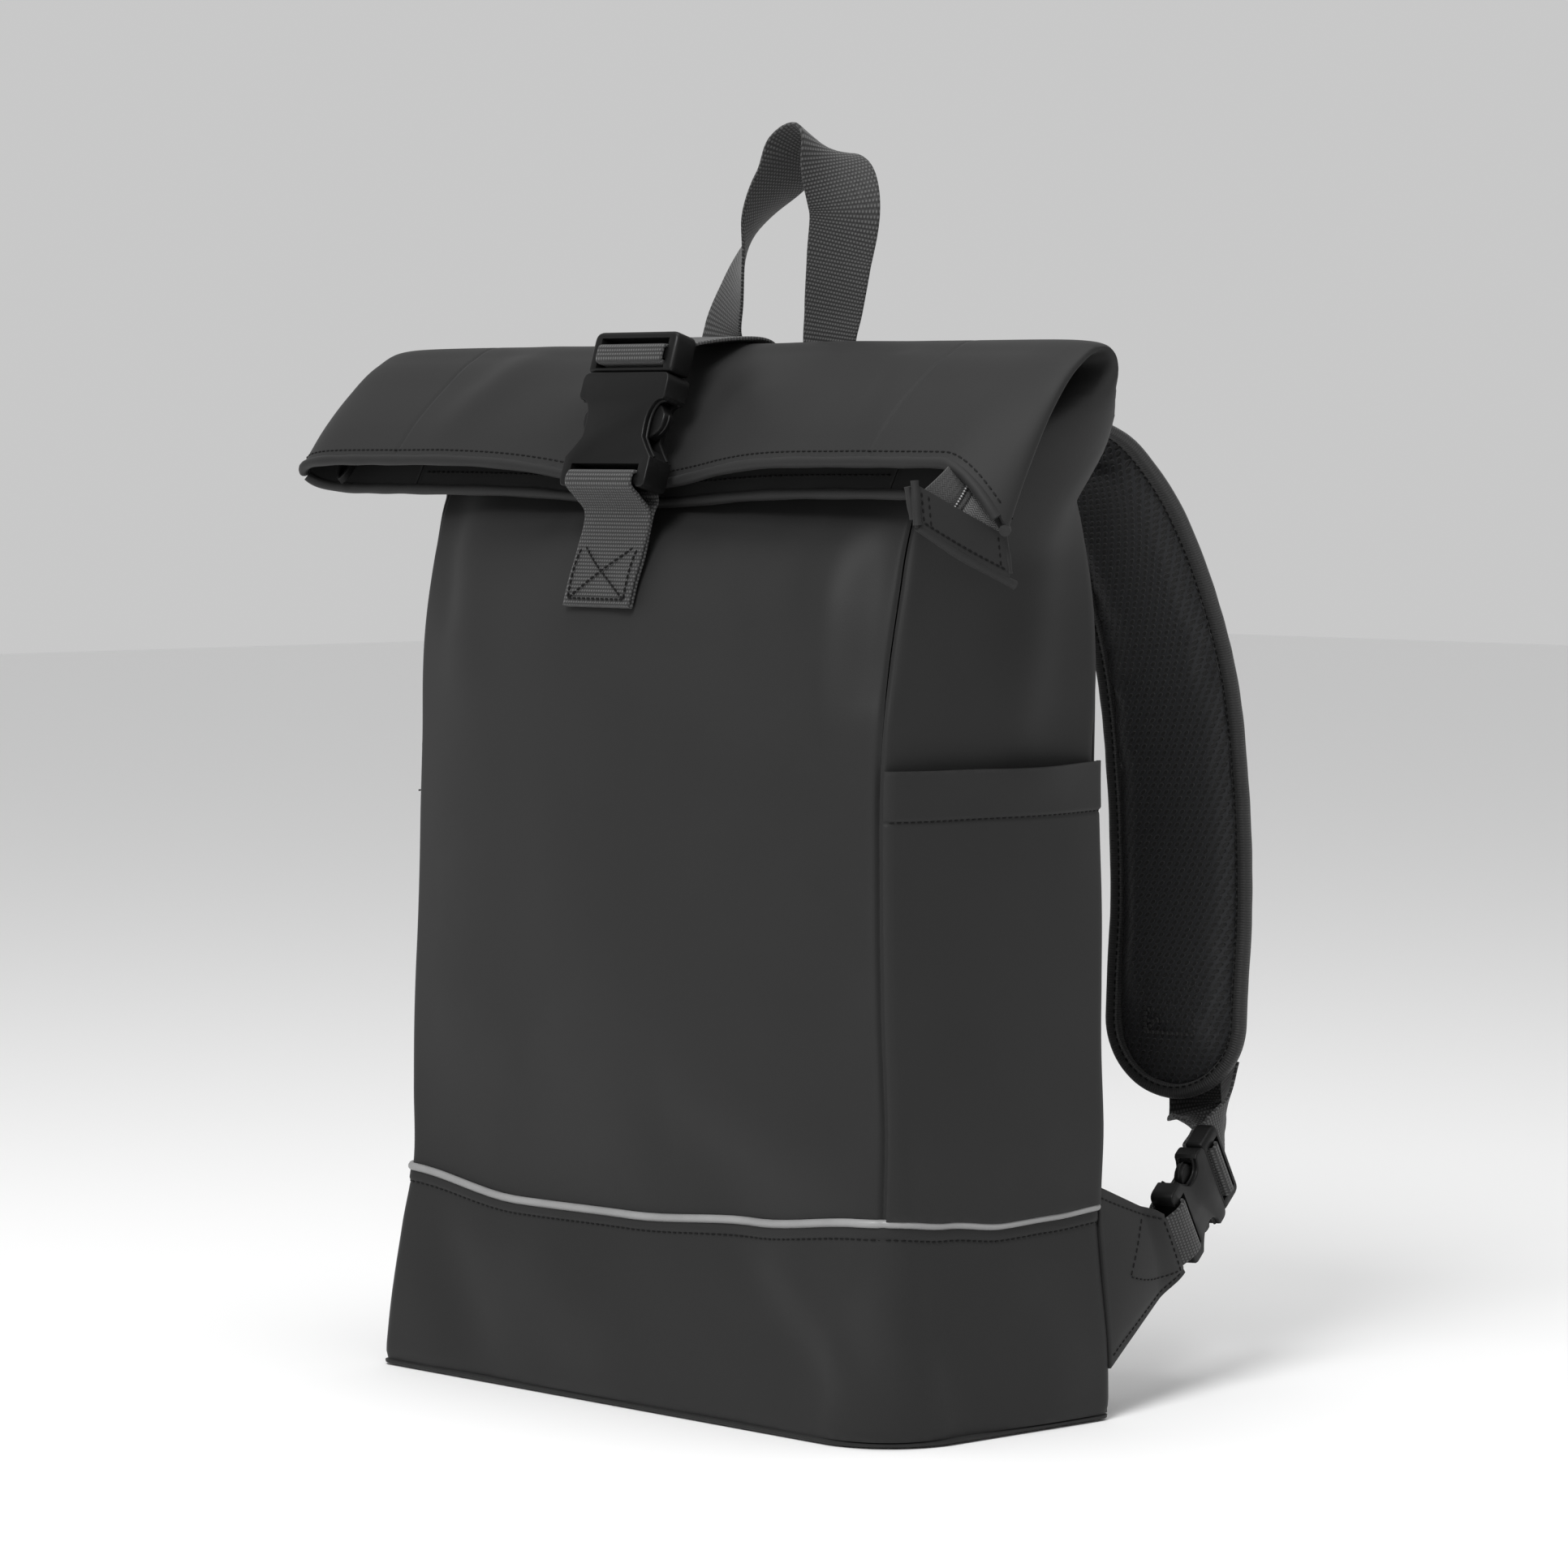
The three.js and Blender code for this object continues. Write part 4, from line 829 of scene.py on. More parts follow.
def stitches(name, runs, pitch=STITCH_PITCH, length=STITCH_LENGTH, radius=STITCH_RADIUS):
    """Thread dashes along runs of (place, outward) on a surface, joined in one piece."""
    clear_selection()
    bpy.ops.mesh.primitive_uv_sphere_add(segments=6, ring_count=5, radius=1)
    master = bpy.context.object
    shape = np.array([tuple(vertex.co) for vertex in master.data.vertices])
    shape[:, 2] = np.sign(shape[:, 2]) * np.abs(shape[:, 2]) ** 0.6
    faces = [tuple(polygon.vertices) for polygon in master.data.polygons]
    bpy.data.objects.remove(master)
    points, polygons = [], []
    for run in runs:
        ways = [(b[0] - a[0]).length for a, b in zip(run, run[1:])]
        total = sum(ways)
        count = int(total / pitch)
        place, i = 0.0, 0
        for n in range(count):
            target = (n + 0.5) * total / count
            while i < len(ways) - 1 and place + ways[i] < target:
                place += ways[i]
                i += 1
            t = clamp((target - place) / max(ways[i], 1e-9), 0, 1)
            spot = run[i][0].lerp(run[i + 1][0], t)
            outward = run[i][1].lerp(run[i + 1][1], t).normalized()
            forward = (run[i + 1][0] - run[i][0]).normalized()
            aside = outward.cross(forward).normalized()
            turn = np.array([tuple(aside * radius * 1.25), tuple(outward * radius),
                             tuple(forward * length / 2)])
            start = len(points) * len(shape)
            points.append(shape @ turn + np.array(tuple(spot)))
            polygons += [tuple(start + k for k in face) for face in faces]
    data = bpy.data.meshes.new(name)
    data.from_pydata(np.concatenate(points).tolist(), [], polygons)
    piece = bpy.data.objects.new(name, data)
    bpy.context.scene.collection.objects.link(piece)
    turn_faces_out(piece)
    return piece


def sew(name, runs, slot, **look):
    """Seams of thread in one piece. The slot is not used."""
    finish(stitches(name, runs, **look), slot, material="thread")


def cloth_run(places, lift=STITCH_LIFT, steps=60):
    """A line on the cloth through (panel, distance, share) places of one panel."""
    run = []
    for (panel, d0, s0), (_, d1, s1) in zip(places, places[1:]):
        for n in range(steps + 1):
            distance, share = lerp(d0, d1, n / steps), lerp(s0, s1, n / steps)
            run.append((on_cloth(panel, distance, share, lift), outward_at(panel, distance, share)))
    return run


# Shared effects, built once and placed in each material with its own values
def new_group(name, inputs, outputs):
    group = bpy.data.node_groups.new(name, "ShaderNodeTree")
    for label, kind, value in inputs:
        socket = group.interface.new_socket(label, in_out="INPUT", socket_type=kind)
        if value is not None:
            socket.default_value = value
    for label in outputs:
        group.interface.new_socket(label, in_out="OUTPUT", socket_type="NodeSocketFloat")
    return group, group.nodes.new("NodeGroupInput"), group.nodes.new("NodeGroupOutput")


class Wires:
    """Short ways of adding nodes to a tree."""

    def __init__(self, tree):
        self.tree = tree

    def node(self, kind, **settings):
        node = self.tree.nodes.new(kind)
        for key, value in settings.items():
            setattr(node, key, value)
        return node

    def feed(self, socket, value):
        if isinstance(value, bpy.types.NodeSocket):
            self.tree.links.new(value, socket)
        else:
            socket.default_value = value

    def math(self, operation, a, b=0.0, clamped=False):
        node = self.node("ShaderNodeMath", operation=operation, use_clamp=clamped)
        self.feed(node.inputs[0], a)
        self.feed(node.inputs[1], b)
        return node.outputs[0]

    def noise(self, vector, scale, detail=2.0, roughness=0.5):
        node = self.node("ShaderNodeTexNoise")
        self.feed(node.inputs["Vector"], vector)
        self.feed(node.inputs["Scale"], scale)
        self.feed(node.inputs["Detail"], detail)
        self.feed(node.inputs["Roughness"], roughness)
        return node.outputs["Fac"]

    def cells(self, vector, scale):
        node = self.node("ShaderNodeTexVoronoi", feature="F1")
        self.feed(node.inputs["Vector"], vector)
        self.feed(node.inputs["Scale"], scale)
        return node.outputs["Distance"]

    def ramp(self, value, low, high, start=0.0, end=1.0):
        node = self.node("ShaderNodeMapRange", interpolation_type="SMOOTHSTEP")
        self.feed(node.inputs["Value"], value)
        self.feed(node.inputs["From Min"], low)
        self.feed(node.inputs["From Max"], high)
        self.feed(node.inputs["To Min"], start)
        self.feed(node.inputs["To Max"], end)
        return node.outputs["Result"]

    def colour(self, factor, dark, light):
        node = self.node("ShaderNodeMix", data_type="RGBA")
        self.feed(node.inputs["Factor"], factor)
        node.inputs["A"].default_value = (*dark, 1)
        node.inputs["B"].default_value = (*light, 1)
        return node.outputs["Result"]

    def place(self, group, **values):
        node = self.node("ShaderNodeGroup")
        node.node_tree = group
        for label, value in values.items():
            self.feed(node.inputs[label.replace("_", " ")], value)
        return node.outputs

    def bump(self, height, strength, distance):
        node = self.node("ShaderNodeBump")
        self.feed(node.inputs["Strength"], strength)
        self.feed(node.inputs["Distance"], distance)
        self.feed(node.inputs["Height"], height)
        return node.outputs["Normal"]


VECTOR, NUMBER = "NodeSocketVector", "NodeSocketFloat"


def grain_group():
    """Fine skin of a coated or moulded surface, with slow patches of more and less shine."""
    group, given, made = new_group("fine skin", (
        ("Vector", VECTOR, None), ("Grain", NUMBER, 1500.0), ("Patches", NUMBER, 14.0)),
        ("Height", "Patch"))
    wires = Wires(group)
    fine = wires.noise(given.outputs["Vector"], given.outputs["Grain"], 3.0, 0.6)
    pits = wires.cells(given.outputs["Vector"], given.outputs["Grain"])
    height = wires.math("ADD", wires.math("MULTIPLY", fine, 0.6), wires.math("MULTIPLY", pits, 0.4))
    patch = wires.noise(given.outputs["Vector"], given.outputs["Patches"], 3.0, 0.55)
    wires.feed(made.inputs["Height"], height)
    wires.feed(made.inputs["Patch"], wires.ramp(patch, 0.3, 0.7))
    return group


def wear_and_highlight_group():
    """Edges made a little lighter, broken up by a fine noise: lighter from rubbing on cloth and
    piping, a painted highlight on moulded parts.
    """
    group, given, made = new_group("edge wear", (
        ("Vector", VECTOR, None), ("Amount", NUMBER, 0.5), ("Break Up", NUMBER, 260.0)),
        ("Mask",))
    wires = Wires(group)
    edge = wires.node("ShaderNodeAttribute", attribute_name="edge").outputs["Fac"]
    broken = wires.noise(given.outputs["Vector"], given.outputs["Break Up"], 3.0, 0.6)
    mask = wires.math("MULTIPLY", wires.ramp(edge, 0.15, 0.75), wires.ramp(broken, 0.35, 0.65))
    wires.feed(made.inputs["Mask"], wires.math("MULTIPLY", mask, given.outputs["Amount"], True))
    return group


def ribs_group():
    """A woven band: ribs across it, each broken into short flecks that step from row to row."""
    group, given, made = new_group("woven ribs", (
        ("Vector", VECTOR, None), ("Rib", NUMBER, 0.0016), ("Fleck", NUMBER, 0.0014),
        ("Step", NUMBER, 0.5)), ("Height", "Mask"))
    wires = Wires(group)
    split = wires.node("ShaderNodeSeparateXYZ")
    wires.feed(split.inputs[0], given.outputs["Vector"])
    along = wires.math("DIVIDE", split.outputs["Y"], given.outputs["Rib"])
    row = wires.math("FLOOR", along)
    rib = wires.math("PINGPONG", along, 0.5)
    rib = wires.ramp(rib, 0.05, 0.42)
    shifted = wires.math("MULTIPLY", row, given.outputs["Step"])
    across = wires.math("ADD", wires.math("DIVIDE", split.outputs["X"], given.outputs["Fleck"]),
                        shifted)
    fleck = wires.ramp(wires.math("PINGPONG", across, 0.5), 0.06, 0.34)
    height = wires.math("MULTIPLY", rib, wires.math("ADD", wires.math("MULTIPLY", fleck, 0.6), 0.4))
    wires.feed(made.inputs["Height"], height)
    wires.feed(made.inputs["Mask"], wires.math("MULTIPLY", rib, fleck))
    return group


def holes_group():
    """Spacer mesh: rows of long small holes that step sideways from row to row."""
    group, given, made = new_group("mesh holes", (
        ("Vector", VECTOR, None), ("Pitch", NUMBER, 0.0032), ("Row", NUMBER, 0.0026),
        ("Step", NUMBER, 0.34)), ("Yarn",))
    wires = Wires(group)
    split = wires.node("ShaderNodeSeparateXYZ")
    wires.feed(split.inputs[0], given.outputs["Vector"])
    down = wires.math("DIVIDE", split.outputs["Y"], given.outputs["Row"])
    row = wires.math("FLOOR", down)
    shift = wires.math("MULTIPLY", row, given.outputs["Step"])
    across = wires.math("ADD", wires.math("DIVIDE", split.outputs["X"], given.outputs["Pitch"]),
                        shift)
    u = wires.math("SUBTRACT", wires.math("FRACT", across), 0.5)
    v = wires.math("SUBTRACT", wires.math("FRACT", down), 0.5)
    lean = wires.math("ADD", u, wires.math("MULTIPLY", v, 0.45))
    wide = wires.math("POWER", wires.math("DIVIDE", wires.math("ABSOLUTE", lean), 0.33), 2.0)
    high = wires.math("POWER", wires.math("DIVIDE", wires.math("ABSOLUTE", v), 0.40), 2.0)
    wires.feed(made.inputs["Yarn"], wires.ramp(wires.math("ADD", wide, high), 0.55, 1.35))
    return group


SKIN, EDGE_WEAR_AND_HIGHLIGHT, RIBS, HOLES = grain_group(), wear_and_highlight_group(), ribs_group(), holes_group()


def new_material(name, **shader):
    material = bpy.data.materials.new(name)
    material.use_nodes = True
    principled = material.node_tree.nodes["Principled BSDF"]
    for label, value in shader.items():
        principled.inputs[label.replace("_", " ")].default_value = value
    wires = Wires(material.node_tree)
    coordinates = wires.node("ShaderNodeTexCoord")
    return material, principled, wires, coordinates.outputs["Object"]


def weave_uv(wires):
    return wires.node("ShaderNodeUVMap", uv_map="weave").outputs["UV"]


def grey(level):
    return (level, level, level)


def dress(wires, shader, colour, roughness, normal):
    """Feeds what gives a material its look."""
    wires.feed(shader.inputs["Base Color"], colour)
    wires.feed(shader.inputs["Roughness"], roughness)
    wires.feed(shader.inputs["Normal"], normal)


def coated_material():
    material, shader, wires, spot = new_material(
        "coated cloth", Sheen_Weight=0.03, Sheen_Roughness=0.45, Specular_IOR_Level=0.22)
    skin = wires.place(SKIN, Vector=spot, Grain=1700.0, Patches=11.0)
    wear_and_highlight = wires.place(EDGE_WEAR_AND_HIGHLIGHT, Vector=spot, Amount=0.5, Break_Up=240.0)["Mask"]
    tone = wires.math("ADD", wires.math("MULTIPLY", skin["Patch"], 0.35), wear_and_highlight, True)
    colour = wires.colour(tone, grey(0.0130), grey(0.0205))
    roughness = wires.ramp(skin["Patch"], 0, 1, 0.56, 0.66)
    dress(wires, shader, colour, roughness, wires.bump(skin["Height"], 0.35, 0.00012))
    return material


def webbing_material():
    material, shader, wires, spot = new_material("webbing", Sheen_Weight=0.15)
    weave = weave_uv(wires)
    ribs = wires.place(RIBS, Vector=weave, Rib=RIB_PITCH, Fleck=0.00145, Step=0.5)
    fuzz = wires.noise(spot, 900.0, 3.0, 0.6)
    # The colour is lighter on the ribs' tops and darker in the grooves between them, a painted
    # highlight and painted shade, mixed with the weave's own flecks.
    mask = wires.math("MULTIPLY", ribs["Mask"], wires.ramp(fuzz, 0.25, 0.6, 0.75, 1.0))
    colour = wires.colour(mask, grey(0.0022), grey(0.062))
    roughness = wires.ramp(fuzz, 0.2, 0.8, 0.62, 0.85)
    dress(wires, shader, colour, roughness, wires.bump(ribs["Height"], 0.9, 0.0004))
    return material


def binding_material():
    material, shader, wires, spot = new_material("binding tape", Sheen_Weight=0.12)
    weave = weave_uv(wires)
    ribs = wires.place(RIBS, Vector=weave, Rib=0.0011, Fleck=0.0030, Step=0.0)
    fuzz = wires.noise(spot, 1100.0, 2.0, 0.6)
    # The colour follows the ribs' height: painted shade in the grooves and a painted highlight on
    # the tops, mixed with the weave's own flecks.
    mask = wires.math("MULTIPLY", ribs["Height"], wires.ramp(fuzz, 0.3, 0.7, 0.7, 1.0))
    colour = wires.colour(mask, grey(0.003), grey(0.022))
    roughness = wires.ramp(fuzz, 0.2, 0.8, 0.55, 0.75)
    dress(wires, shader, colour, roughness, wires.bump(ribs["Height"], 0.7, 0.0002))
    return material


def mesh_material():
    material, shader, wires, spot = new_material("spacer mesh", Sheen_Weight=0.08)
    holes = wires.place(HOLES, Vector=weave_uv(wires), Pitch=0.0036, Row=0.0028, Step=0.36)
    yarn = wires.noise(spot, 2200.0, 2.0, 0.6)
    # The holes are painted near black, painted shade in the mesh's openings; the yarn between them
    # keeps its own colour.
    lit = wires.math("MULTIPLY", holes["Yarn"], wires.ramp(yarn, 0.2, 0.7, 0.5, 1.0))
    colour = wires.colour(lit, grey(0.0004), (0.0088, 0.0096, 0.0115))
    roughness = wires.ramp(yarn, 0.2, 0.8, 0.6, 0.9)
    dress(wires, shader, colour, roughness, wires.bump(holes["Yarn"], 1.0, 0.0009))
    return material


def moulded_material():
    material, shader, wires, spot = new_material("moulded black", Specular_IOR_Level=0.20)
    skin = wires.place(SKIN, Vector=spot, Grain=2600.0, Patches=60.0)
    wear_and_highlight = wires.place(EDGE_WEAR_AND_HIGHLIGHT, Vector=spot, Amount=0.6, Break_Up=700.0)["Mask"]
    # The lighter edges of the moulded parts are a painted highlight along their rounded edges.
    colour = wires.colour(wear_and_highlight, grey(0.0030), grey(0.012))
    roughness = wires.ramp(skin["Patch"], 0, 1, 0.38, 0.48)
    dress(wires, shader, colour, roughness, wires.bump(skin["Height"], 0.28, 0.00010))
    return material


def reflective_material():
    material, shader, wires, spot = new_material("reflective piping", Specular_IOR_Level=0.6)
    skin = wires.place(SKIN, Vector=spot, Grain=3200.0, Patches=40.0)
    wear_and_highlight = wires.place(EDGE_WEAR_AND_HIGHLIGHT, Vector=spot, Amount=0.3, Break_Up=500.0)["Mask"]
    tone = wires.math("ADD", wires.math("MULTIPLY", skin["Patch"], 0.5), wear_and_highlight, True)
    colour = wires.colour(tone, grey(0.215), grey(0.290))
    roughness = wires.ramp(skin["Patch"], 0, 1, 0.42, 0.55)
    dress(wires, shader, colour, roughness, wires.bump(skin["Height"], 0.3, 0.0001))
    return material


def thread_material():
    material, shader, wires, spot = new_material("sewing thread", Specular_IOR_Level=0.15)
    twist = wires.noise(spot, 4200.0, 1.0, 0.5)
    colour = wires.colour(twist, grey(0.0010), grey(0.0045))
    roughness = wires.ramp(twist, 0.2, 0.8, 0.45, 0.65)
    dress(wires, shader, colour, roughness, wires.bump(twist, 0.6, 0.0002))
    return material


def zip_material(name, dark, light):
    material, shader, wires, spot = new_material(name, Sheen_Weight=0.15)
    split = wires.node("ShaderNodeSeparateXYZ")
    wires.feed(split.inputs[0], weave_uv(wires))
    zigzag = wires.math("PINGPONG", wires.math("DIVIDE", split.outputs["X"], 0.0030), 0.5)
    along = wires.math("ADD", wires.math("DIVIDE", split.outputs["Y"], 0.0011),
                       wires.math("MULTIPLY", zigzag, 2.4))
    twill = wires.ramp(wires.math("PINGPONG", along, 0.5), 0.08, 0.40)
    fuzz = wires.noise(spot, 2400.0, 2.0, 0.5)
    mask = wires.math("MULTIPLY", twill, wires.ramp(fuzz, 0.2, 0.7, 0.6, 1.0))
    colour = wires.colour(mask, grey(dark), grey(light))
    roughness = wires.ramp(fuzz, 0.2, 0.8, 0.6, 0.8)
    dress(wires, shader, colour, roughness, wires.bump(twill, 0.7, 0.0002))
    return material


MATERIALS = {
    "coated": coated_material(),
    "webbing": webbing_material(),
    "binding": binding_material(),
    "mesh": mesh_material(),
    "moulded": moulded_material(),
    "reflective": reflective_material(),
    "thread": thread_material(),
    "zip": zip_material("zip tape", 0.020, 0.110),
    "zip in painted shade": zip_material("zip tape in painted shade", 0.006, 0.030),
    "zip teeth painted highlight": zip_material("zip teeth painted highlight", 0.30, 0.42),
}


# The bag's cloth
BOOT_START = 0.0023
BOOT_TOP = SEAM_ROW - PIPING_RADIUS * 0.6
WALL_START = SEAM_ROW + PIPING_RADIUS * 0.55


def reaches(columns):
    """How far round the bag each column lies, in metres."""
    return [PANEL_STARTS[panel] + share * PANEL_SPANS[panel] for panel, share in columns]


def add_walls():
    for panel, node, start in (
        ("front", "front_panel", WALL_START),
        ("right", "side_panel_right", WALL_START),
        ("left", "side_panel_left", WALL_START),
        ("back", "back_panel", BOOT_START),
    ):
        columns = columns_of(panel, cloth_shares(panel))
        rows = cloth_rows(start, MOUTH_ROW)
        reach = reaches(columns)
        piece = sheet(f"{panel}_cloth", cloth_grid(columns, rows), lambda r, c: (reach[c], rows[r]))
        thicken(piece, WALL)
        finish(piece, "coated", node)


# The boot's upper edge is folded in as a hem band, held by a line of stitching.
HEM_BAND = 0.0052


def boot_lift(distance):
    below = BOOT_TOP - distance
    band = 0.0007 * (1 - smooth(below, HEM_BAND - 0.0006, HEM_BAND + 0.0012))
    groove = 0.0005 * math.exp(-(((below - HEM_BAND) / 0.0008) ** 2))
    return band - groove


def boot_columns():
    left = [share for share in cloth_shares("left") if share < 1]
    right = [share for share in cloth_shares("right") if share > 0]
    return (columns_of("left", left) + columns_of("front", cloth_shares("front"))
            + columns_of("right", right))


def add_boot():
    columns = boot_columns()
    rows = marks_in(((0, BOOT_TOP - 0.010, 0.0030), (BOOT_TOP - 0.010, BOOT_TOP, 0.0005)),
                    BOOT_START, BOOT_TOP)

    def amount(panel, distance, share):
        aside = min(share, 1 - share) * PANEL_SPANS[panel]
        unseamed = SEAM_DIP * math.exp(-((aside / SEAM_HALF) ** 2))
        tuck = 0.0012 * (1 - smooth(distance, BOOT_START, BOOT_START + 0.004))
        return unseamed + boot_lift(distance) - tuck

    reach = reaches(columns)
    piece = sheet("boot_cloth", cloth_grid(columns, rows, amount), lambda r, c: (reach[c], rows[r]))
    thicken(piece, WALL)
    finish(piece, "coated", "boot")


def add_base():
    columns = boot_columns() + columns_of("back", cloth_shares("back")[1:-1])
    ring = [on_bag(panel, 0, share) for panel, share in columns]
    middle = Vector((0, 0, 0))
    rings = []
    for share, height in ((0.02, 0.0005), (0.3, 0.0004), (0.6, 0.0002), (0.9, 0.0), (0.985, 0.0),
                          (0.997, 0.0006), (0.998, 0.0016), (0.985, 0.0023)):
        rings.append([tuple(middle.lerp(spot, share) + Vector((0, 0, height)))
                      for spot in ring + ring[:1]])
    piece = sheet("base_cloth", rings, lambda r, c: (rings[r][c][0], rings[r][c][1]))
    close_tube(piece)
    finish(piece, "coated", "base_panel")


def add_piping():
    columns = [(panel, share) for panel, share in boot_columns()
               if not (panel == "left" and share < 0.01 or panel == "right" and share > 0.99)]
    points = [on_cloth(panel, SEAM_ROW, share, 0.0006) for panel, share in columns[::2]]
    piece = tube("piping_cord", points, PIPING_RADIUS * 0.92, 12)
    finish(piece, "reflective", "piping")


# The side pockets: a flat pocket with a folded hem along its open top.
def add_pocket(panel):
    top = distance_at_height(POCKET_HEIGHT)
    hem = distance_at_height(POCKET_HEIGHT - POCKET_HEM)
    rows = steps_between(WALL_START, hem - 0.003, 0.004)
    rows += steps_between(hem - 0.003, hem + 0.003, 0.0005)[1:]
    rows += steps_between(hem + 0.003, top, 0.0025)[1:]
    last = 0.992 if panel == "right" else 0.955
    columns = columns_of(panel, [lerp(0.008, last, share) for share in cloth_shares(panel)])
    full = POCKET_BULGE * (0.9 if panel == "right" else 0.3)

    def amount(_, distance, share):
        bulge = math.sin(math.pi * clamp(share, 0, 1)) ** 0.7
        stand = 0.0006 + POCKET_WALL + full * bulge * smooth(distance, WALL_START - 0.020, hem)
        band = 0.0008 * smooth(distance, hem - 0.0004, hem + 0.0010)
        groove = 0.0005 * math.exp(-(((distance - hem) / 0.0009) ** 2))
        wave = 0.0016 * math.sin(share * 9 + 1.2) * smooth(distance, hem - 0.03, top)
        return stand + band - groove + wave * math.sin(math.pi * share)

    points = cloth_grid(columns, rows, amount)
    piece = sheet(f"pocket_{panel}", points, lambda r, c: (columns[c][1] * BAG_DEPTH, rows[r]))
    thicken(piece, POCKET_WALL)
    finish(piece, "coated", f"side_pocket_{panel}")
    run = []
    for share in spread(80, 0.02, 0.98):
        run.append((on_cloth(panel, hem, share, amount(panel, hem, share) + 0.00015),
                    outward_at(panel, hem, share)))
    sew(f"pocket_stitches_{panel}", [run], "webbing")


# The rolled edges of the mouth, each in parts: panel, first and last share, count of steps.
TIP_SHARE = 0.5
RIM_PARTS = {
    "front": (("left", TIP_SHARE + 0.01, 0.985, 24), ("front", 0.01, 0.99, 60),
              ("right", 0.015, TIP_SHARE - 0.01, 24)),
    "back": (("right", 0.53, 0.985, 24), ("back", 0.01, 0.99, 60),
             ("left", 0.015, TIP_SHARE - 0.01, 24)),
}


def rim_points(parts):
    points = []
    for panel, start, end, count in parts:
        for share in spread(count, start, end):
            before = on_cloth(panel, MOUTH_ROW - 0.001, share, -WALL / 2)
            edge = on_cloth(panel, MOUTH_ROW, share, -WALL / 2)
            points.append(edge + (edge - before).normalized() * (RIM_RADIUS * 0.75))
    return points


def add_rims():
    for name, parts in RIM_PARTS.items():
        points = rim_points(parts)
        points = [along_points(points, t) for t in spread(260)]
        piece = tube(f"rim_bead_{name}", points,
                     lambda t: RIM_RADIUS * (1 + 0.05 * math.sin(90 * t)), 12)
        finish(piece, "coated", f"rim_{name}")


def row_run(columns, distance, lift, facing=1):
    """A line of stitching across the cloth, on its outside or, facing -1, on its inside."""
    return [(on_cloth(panel, distance, share, lift), outward_at(panel, distance, share) * facing)
            for panel, share in columns]


def add_cloth_stitches():
    edge = 0.0035
    runs = [row_run(boot_columns()[1:-1:2], BOOT_TOP - HEM_BAND, 2 * STITCH_LIFT)]
    for parts in RIM_PARTS.values():
        columns = [(panel, share) for panel, start, end, count in parts
                   for share in spread(count * 2, start, end)]
        runs.append(row_run(columns, MOUTH_ROW - 0.0030, STITCH_LIFT))
    for panel, share in (("left", 1 - edge / BAG_DEPTH), ("right", edge / BAG_DEPTH)):
        runs.append(cloth_run([(panel, FOLD_END, share), (panel, MOUTH_ROW - 0.004, share)]))
    inside = columns_of("front", spread(120, 0.01, 0.99))
    runs.append(row_run(inside, MOUTH_ROW - 0.006, -WALL - 2 * STITCH_LIFT, -1))
    sew("cloth_stitches", runs, "coated")


add_walls()
add_boot()
add_base()
add_piping()
add_pocket("right")
add_pocket("left")
add_rims()
add_cloth_stitches()


# A side-release buckle half lies in its own frame: x across, y along the strap from the foot
# of the female half to the top of the male half, z out of its face.
WINDOW_AT = 0.58
FRAME_INSET = 0.0006


class BuckleFrame:
    """Where a buckle's foot is in the bag, which way it runs and which way it faces."""

    def __init__(self, foot, axis, face):
        self.foot = foot
        self.up = axis.normalized()
        self.across = self.up.cross(face).normalized()
        self.out = self.across.cross(self.up).normalized()

    def spot(self, along, out, across=0.0):
        return self.foot + self.up * along + self.out * out + self.across * across

    def set_in(self, piece):
        turn = Matrix((self.across, self.up, self.out)).transposed().to_4x4()
        piece.data.transform(Matrix.Translation(self.foot) @ turn)


def buckle_sizes(webbing):
    """Half widths, lengths and gaps of a buckle for webbing of this width."""
    return {
        "slot": webbing + 0.0012,
        "half": webbing / 2 + 0.006,
        "waist": webbing * 0.46,
        "female": webbing * 0.95 + 0.009,
        "male": webbing * 0.13 + 0.012,
        "thick": 0.007 + webbing * 0.14,
        "bar": 0.0036,
        "opening": 0.0046,
        "rim": 0.003,
        "lower_slot": 0.0038,
        "lip": 0.0016,
        "cavity": 0.003 + webbing * 0.07,
    }


def bend(start, middle, end, steps=7):
    """Points of a rounded corner, without its first."""
    return [tuple((1 - t) ** 2 * a + 2 * t * (1 - t) * b + t * t * c
                  for a, b, c in zip(start, middle, end)) for t in spread(steps)[1:]]


def slab(name, outline, low, high, edge=0.0, steps=3):
    """A flat solid of an outline, from one height to another, with rounded edges."""
    clear_selection()
    bpy.ops.mesh.primitive_circle_add(vertices=len(outline), radius=1, fill_type="NGON")
    piece = bpy.context.object
    piece.name = name
    piece.data.name = name
    for vertex, (x, y) in zip(piece.data.vertices, outline):
        vertex.co = (x, y, low)
    bpy.ops.object.mode_set(mode="EDIT")
    bpy.ops.mesh.select_all(action="SELECT")
    bpy.ops.mesh.extrude_region_move(TRANSFORM_OT_translate={"value": (0, 0, high - low)})
    bpy.ops.object.mode_set(mode="OBJECT")
    turn_faces_out(piece)
    if edge:
        round_edges(piece, edge, steps)
    return piece


def round_edges(piece, width, steps=3):
    apply_modifier(piece, "BEVEL", width=width, segments=steps, limit_method="ANGLE",
                   angle_limit=math.radians(50))


def block(name, left, bottom, right, top, low, high, edge=0.0):
    corners = [(left, bottom), (right, bottom), (right, top), (left, top)]
    return slab(name, corners, low, high, edge)


def cut(piece, *cutters):
    for cutter in cutters:
        apply_modifier(piece, "BOOLEAN", object=cutter, operation="DIFFERENCE", solver="EXACT")
        bpy.data.objects.remove(cutter)


def join(first, *others):
    clear_selection()
    for piece in (*others, first):
        piece.select_set(True)
    bpy.context.view_layer.objects.active = first
    bpy.ops.object.join()
    return first


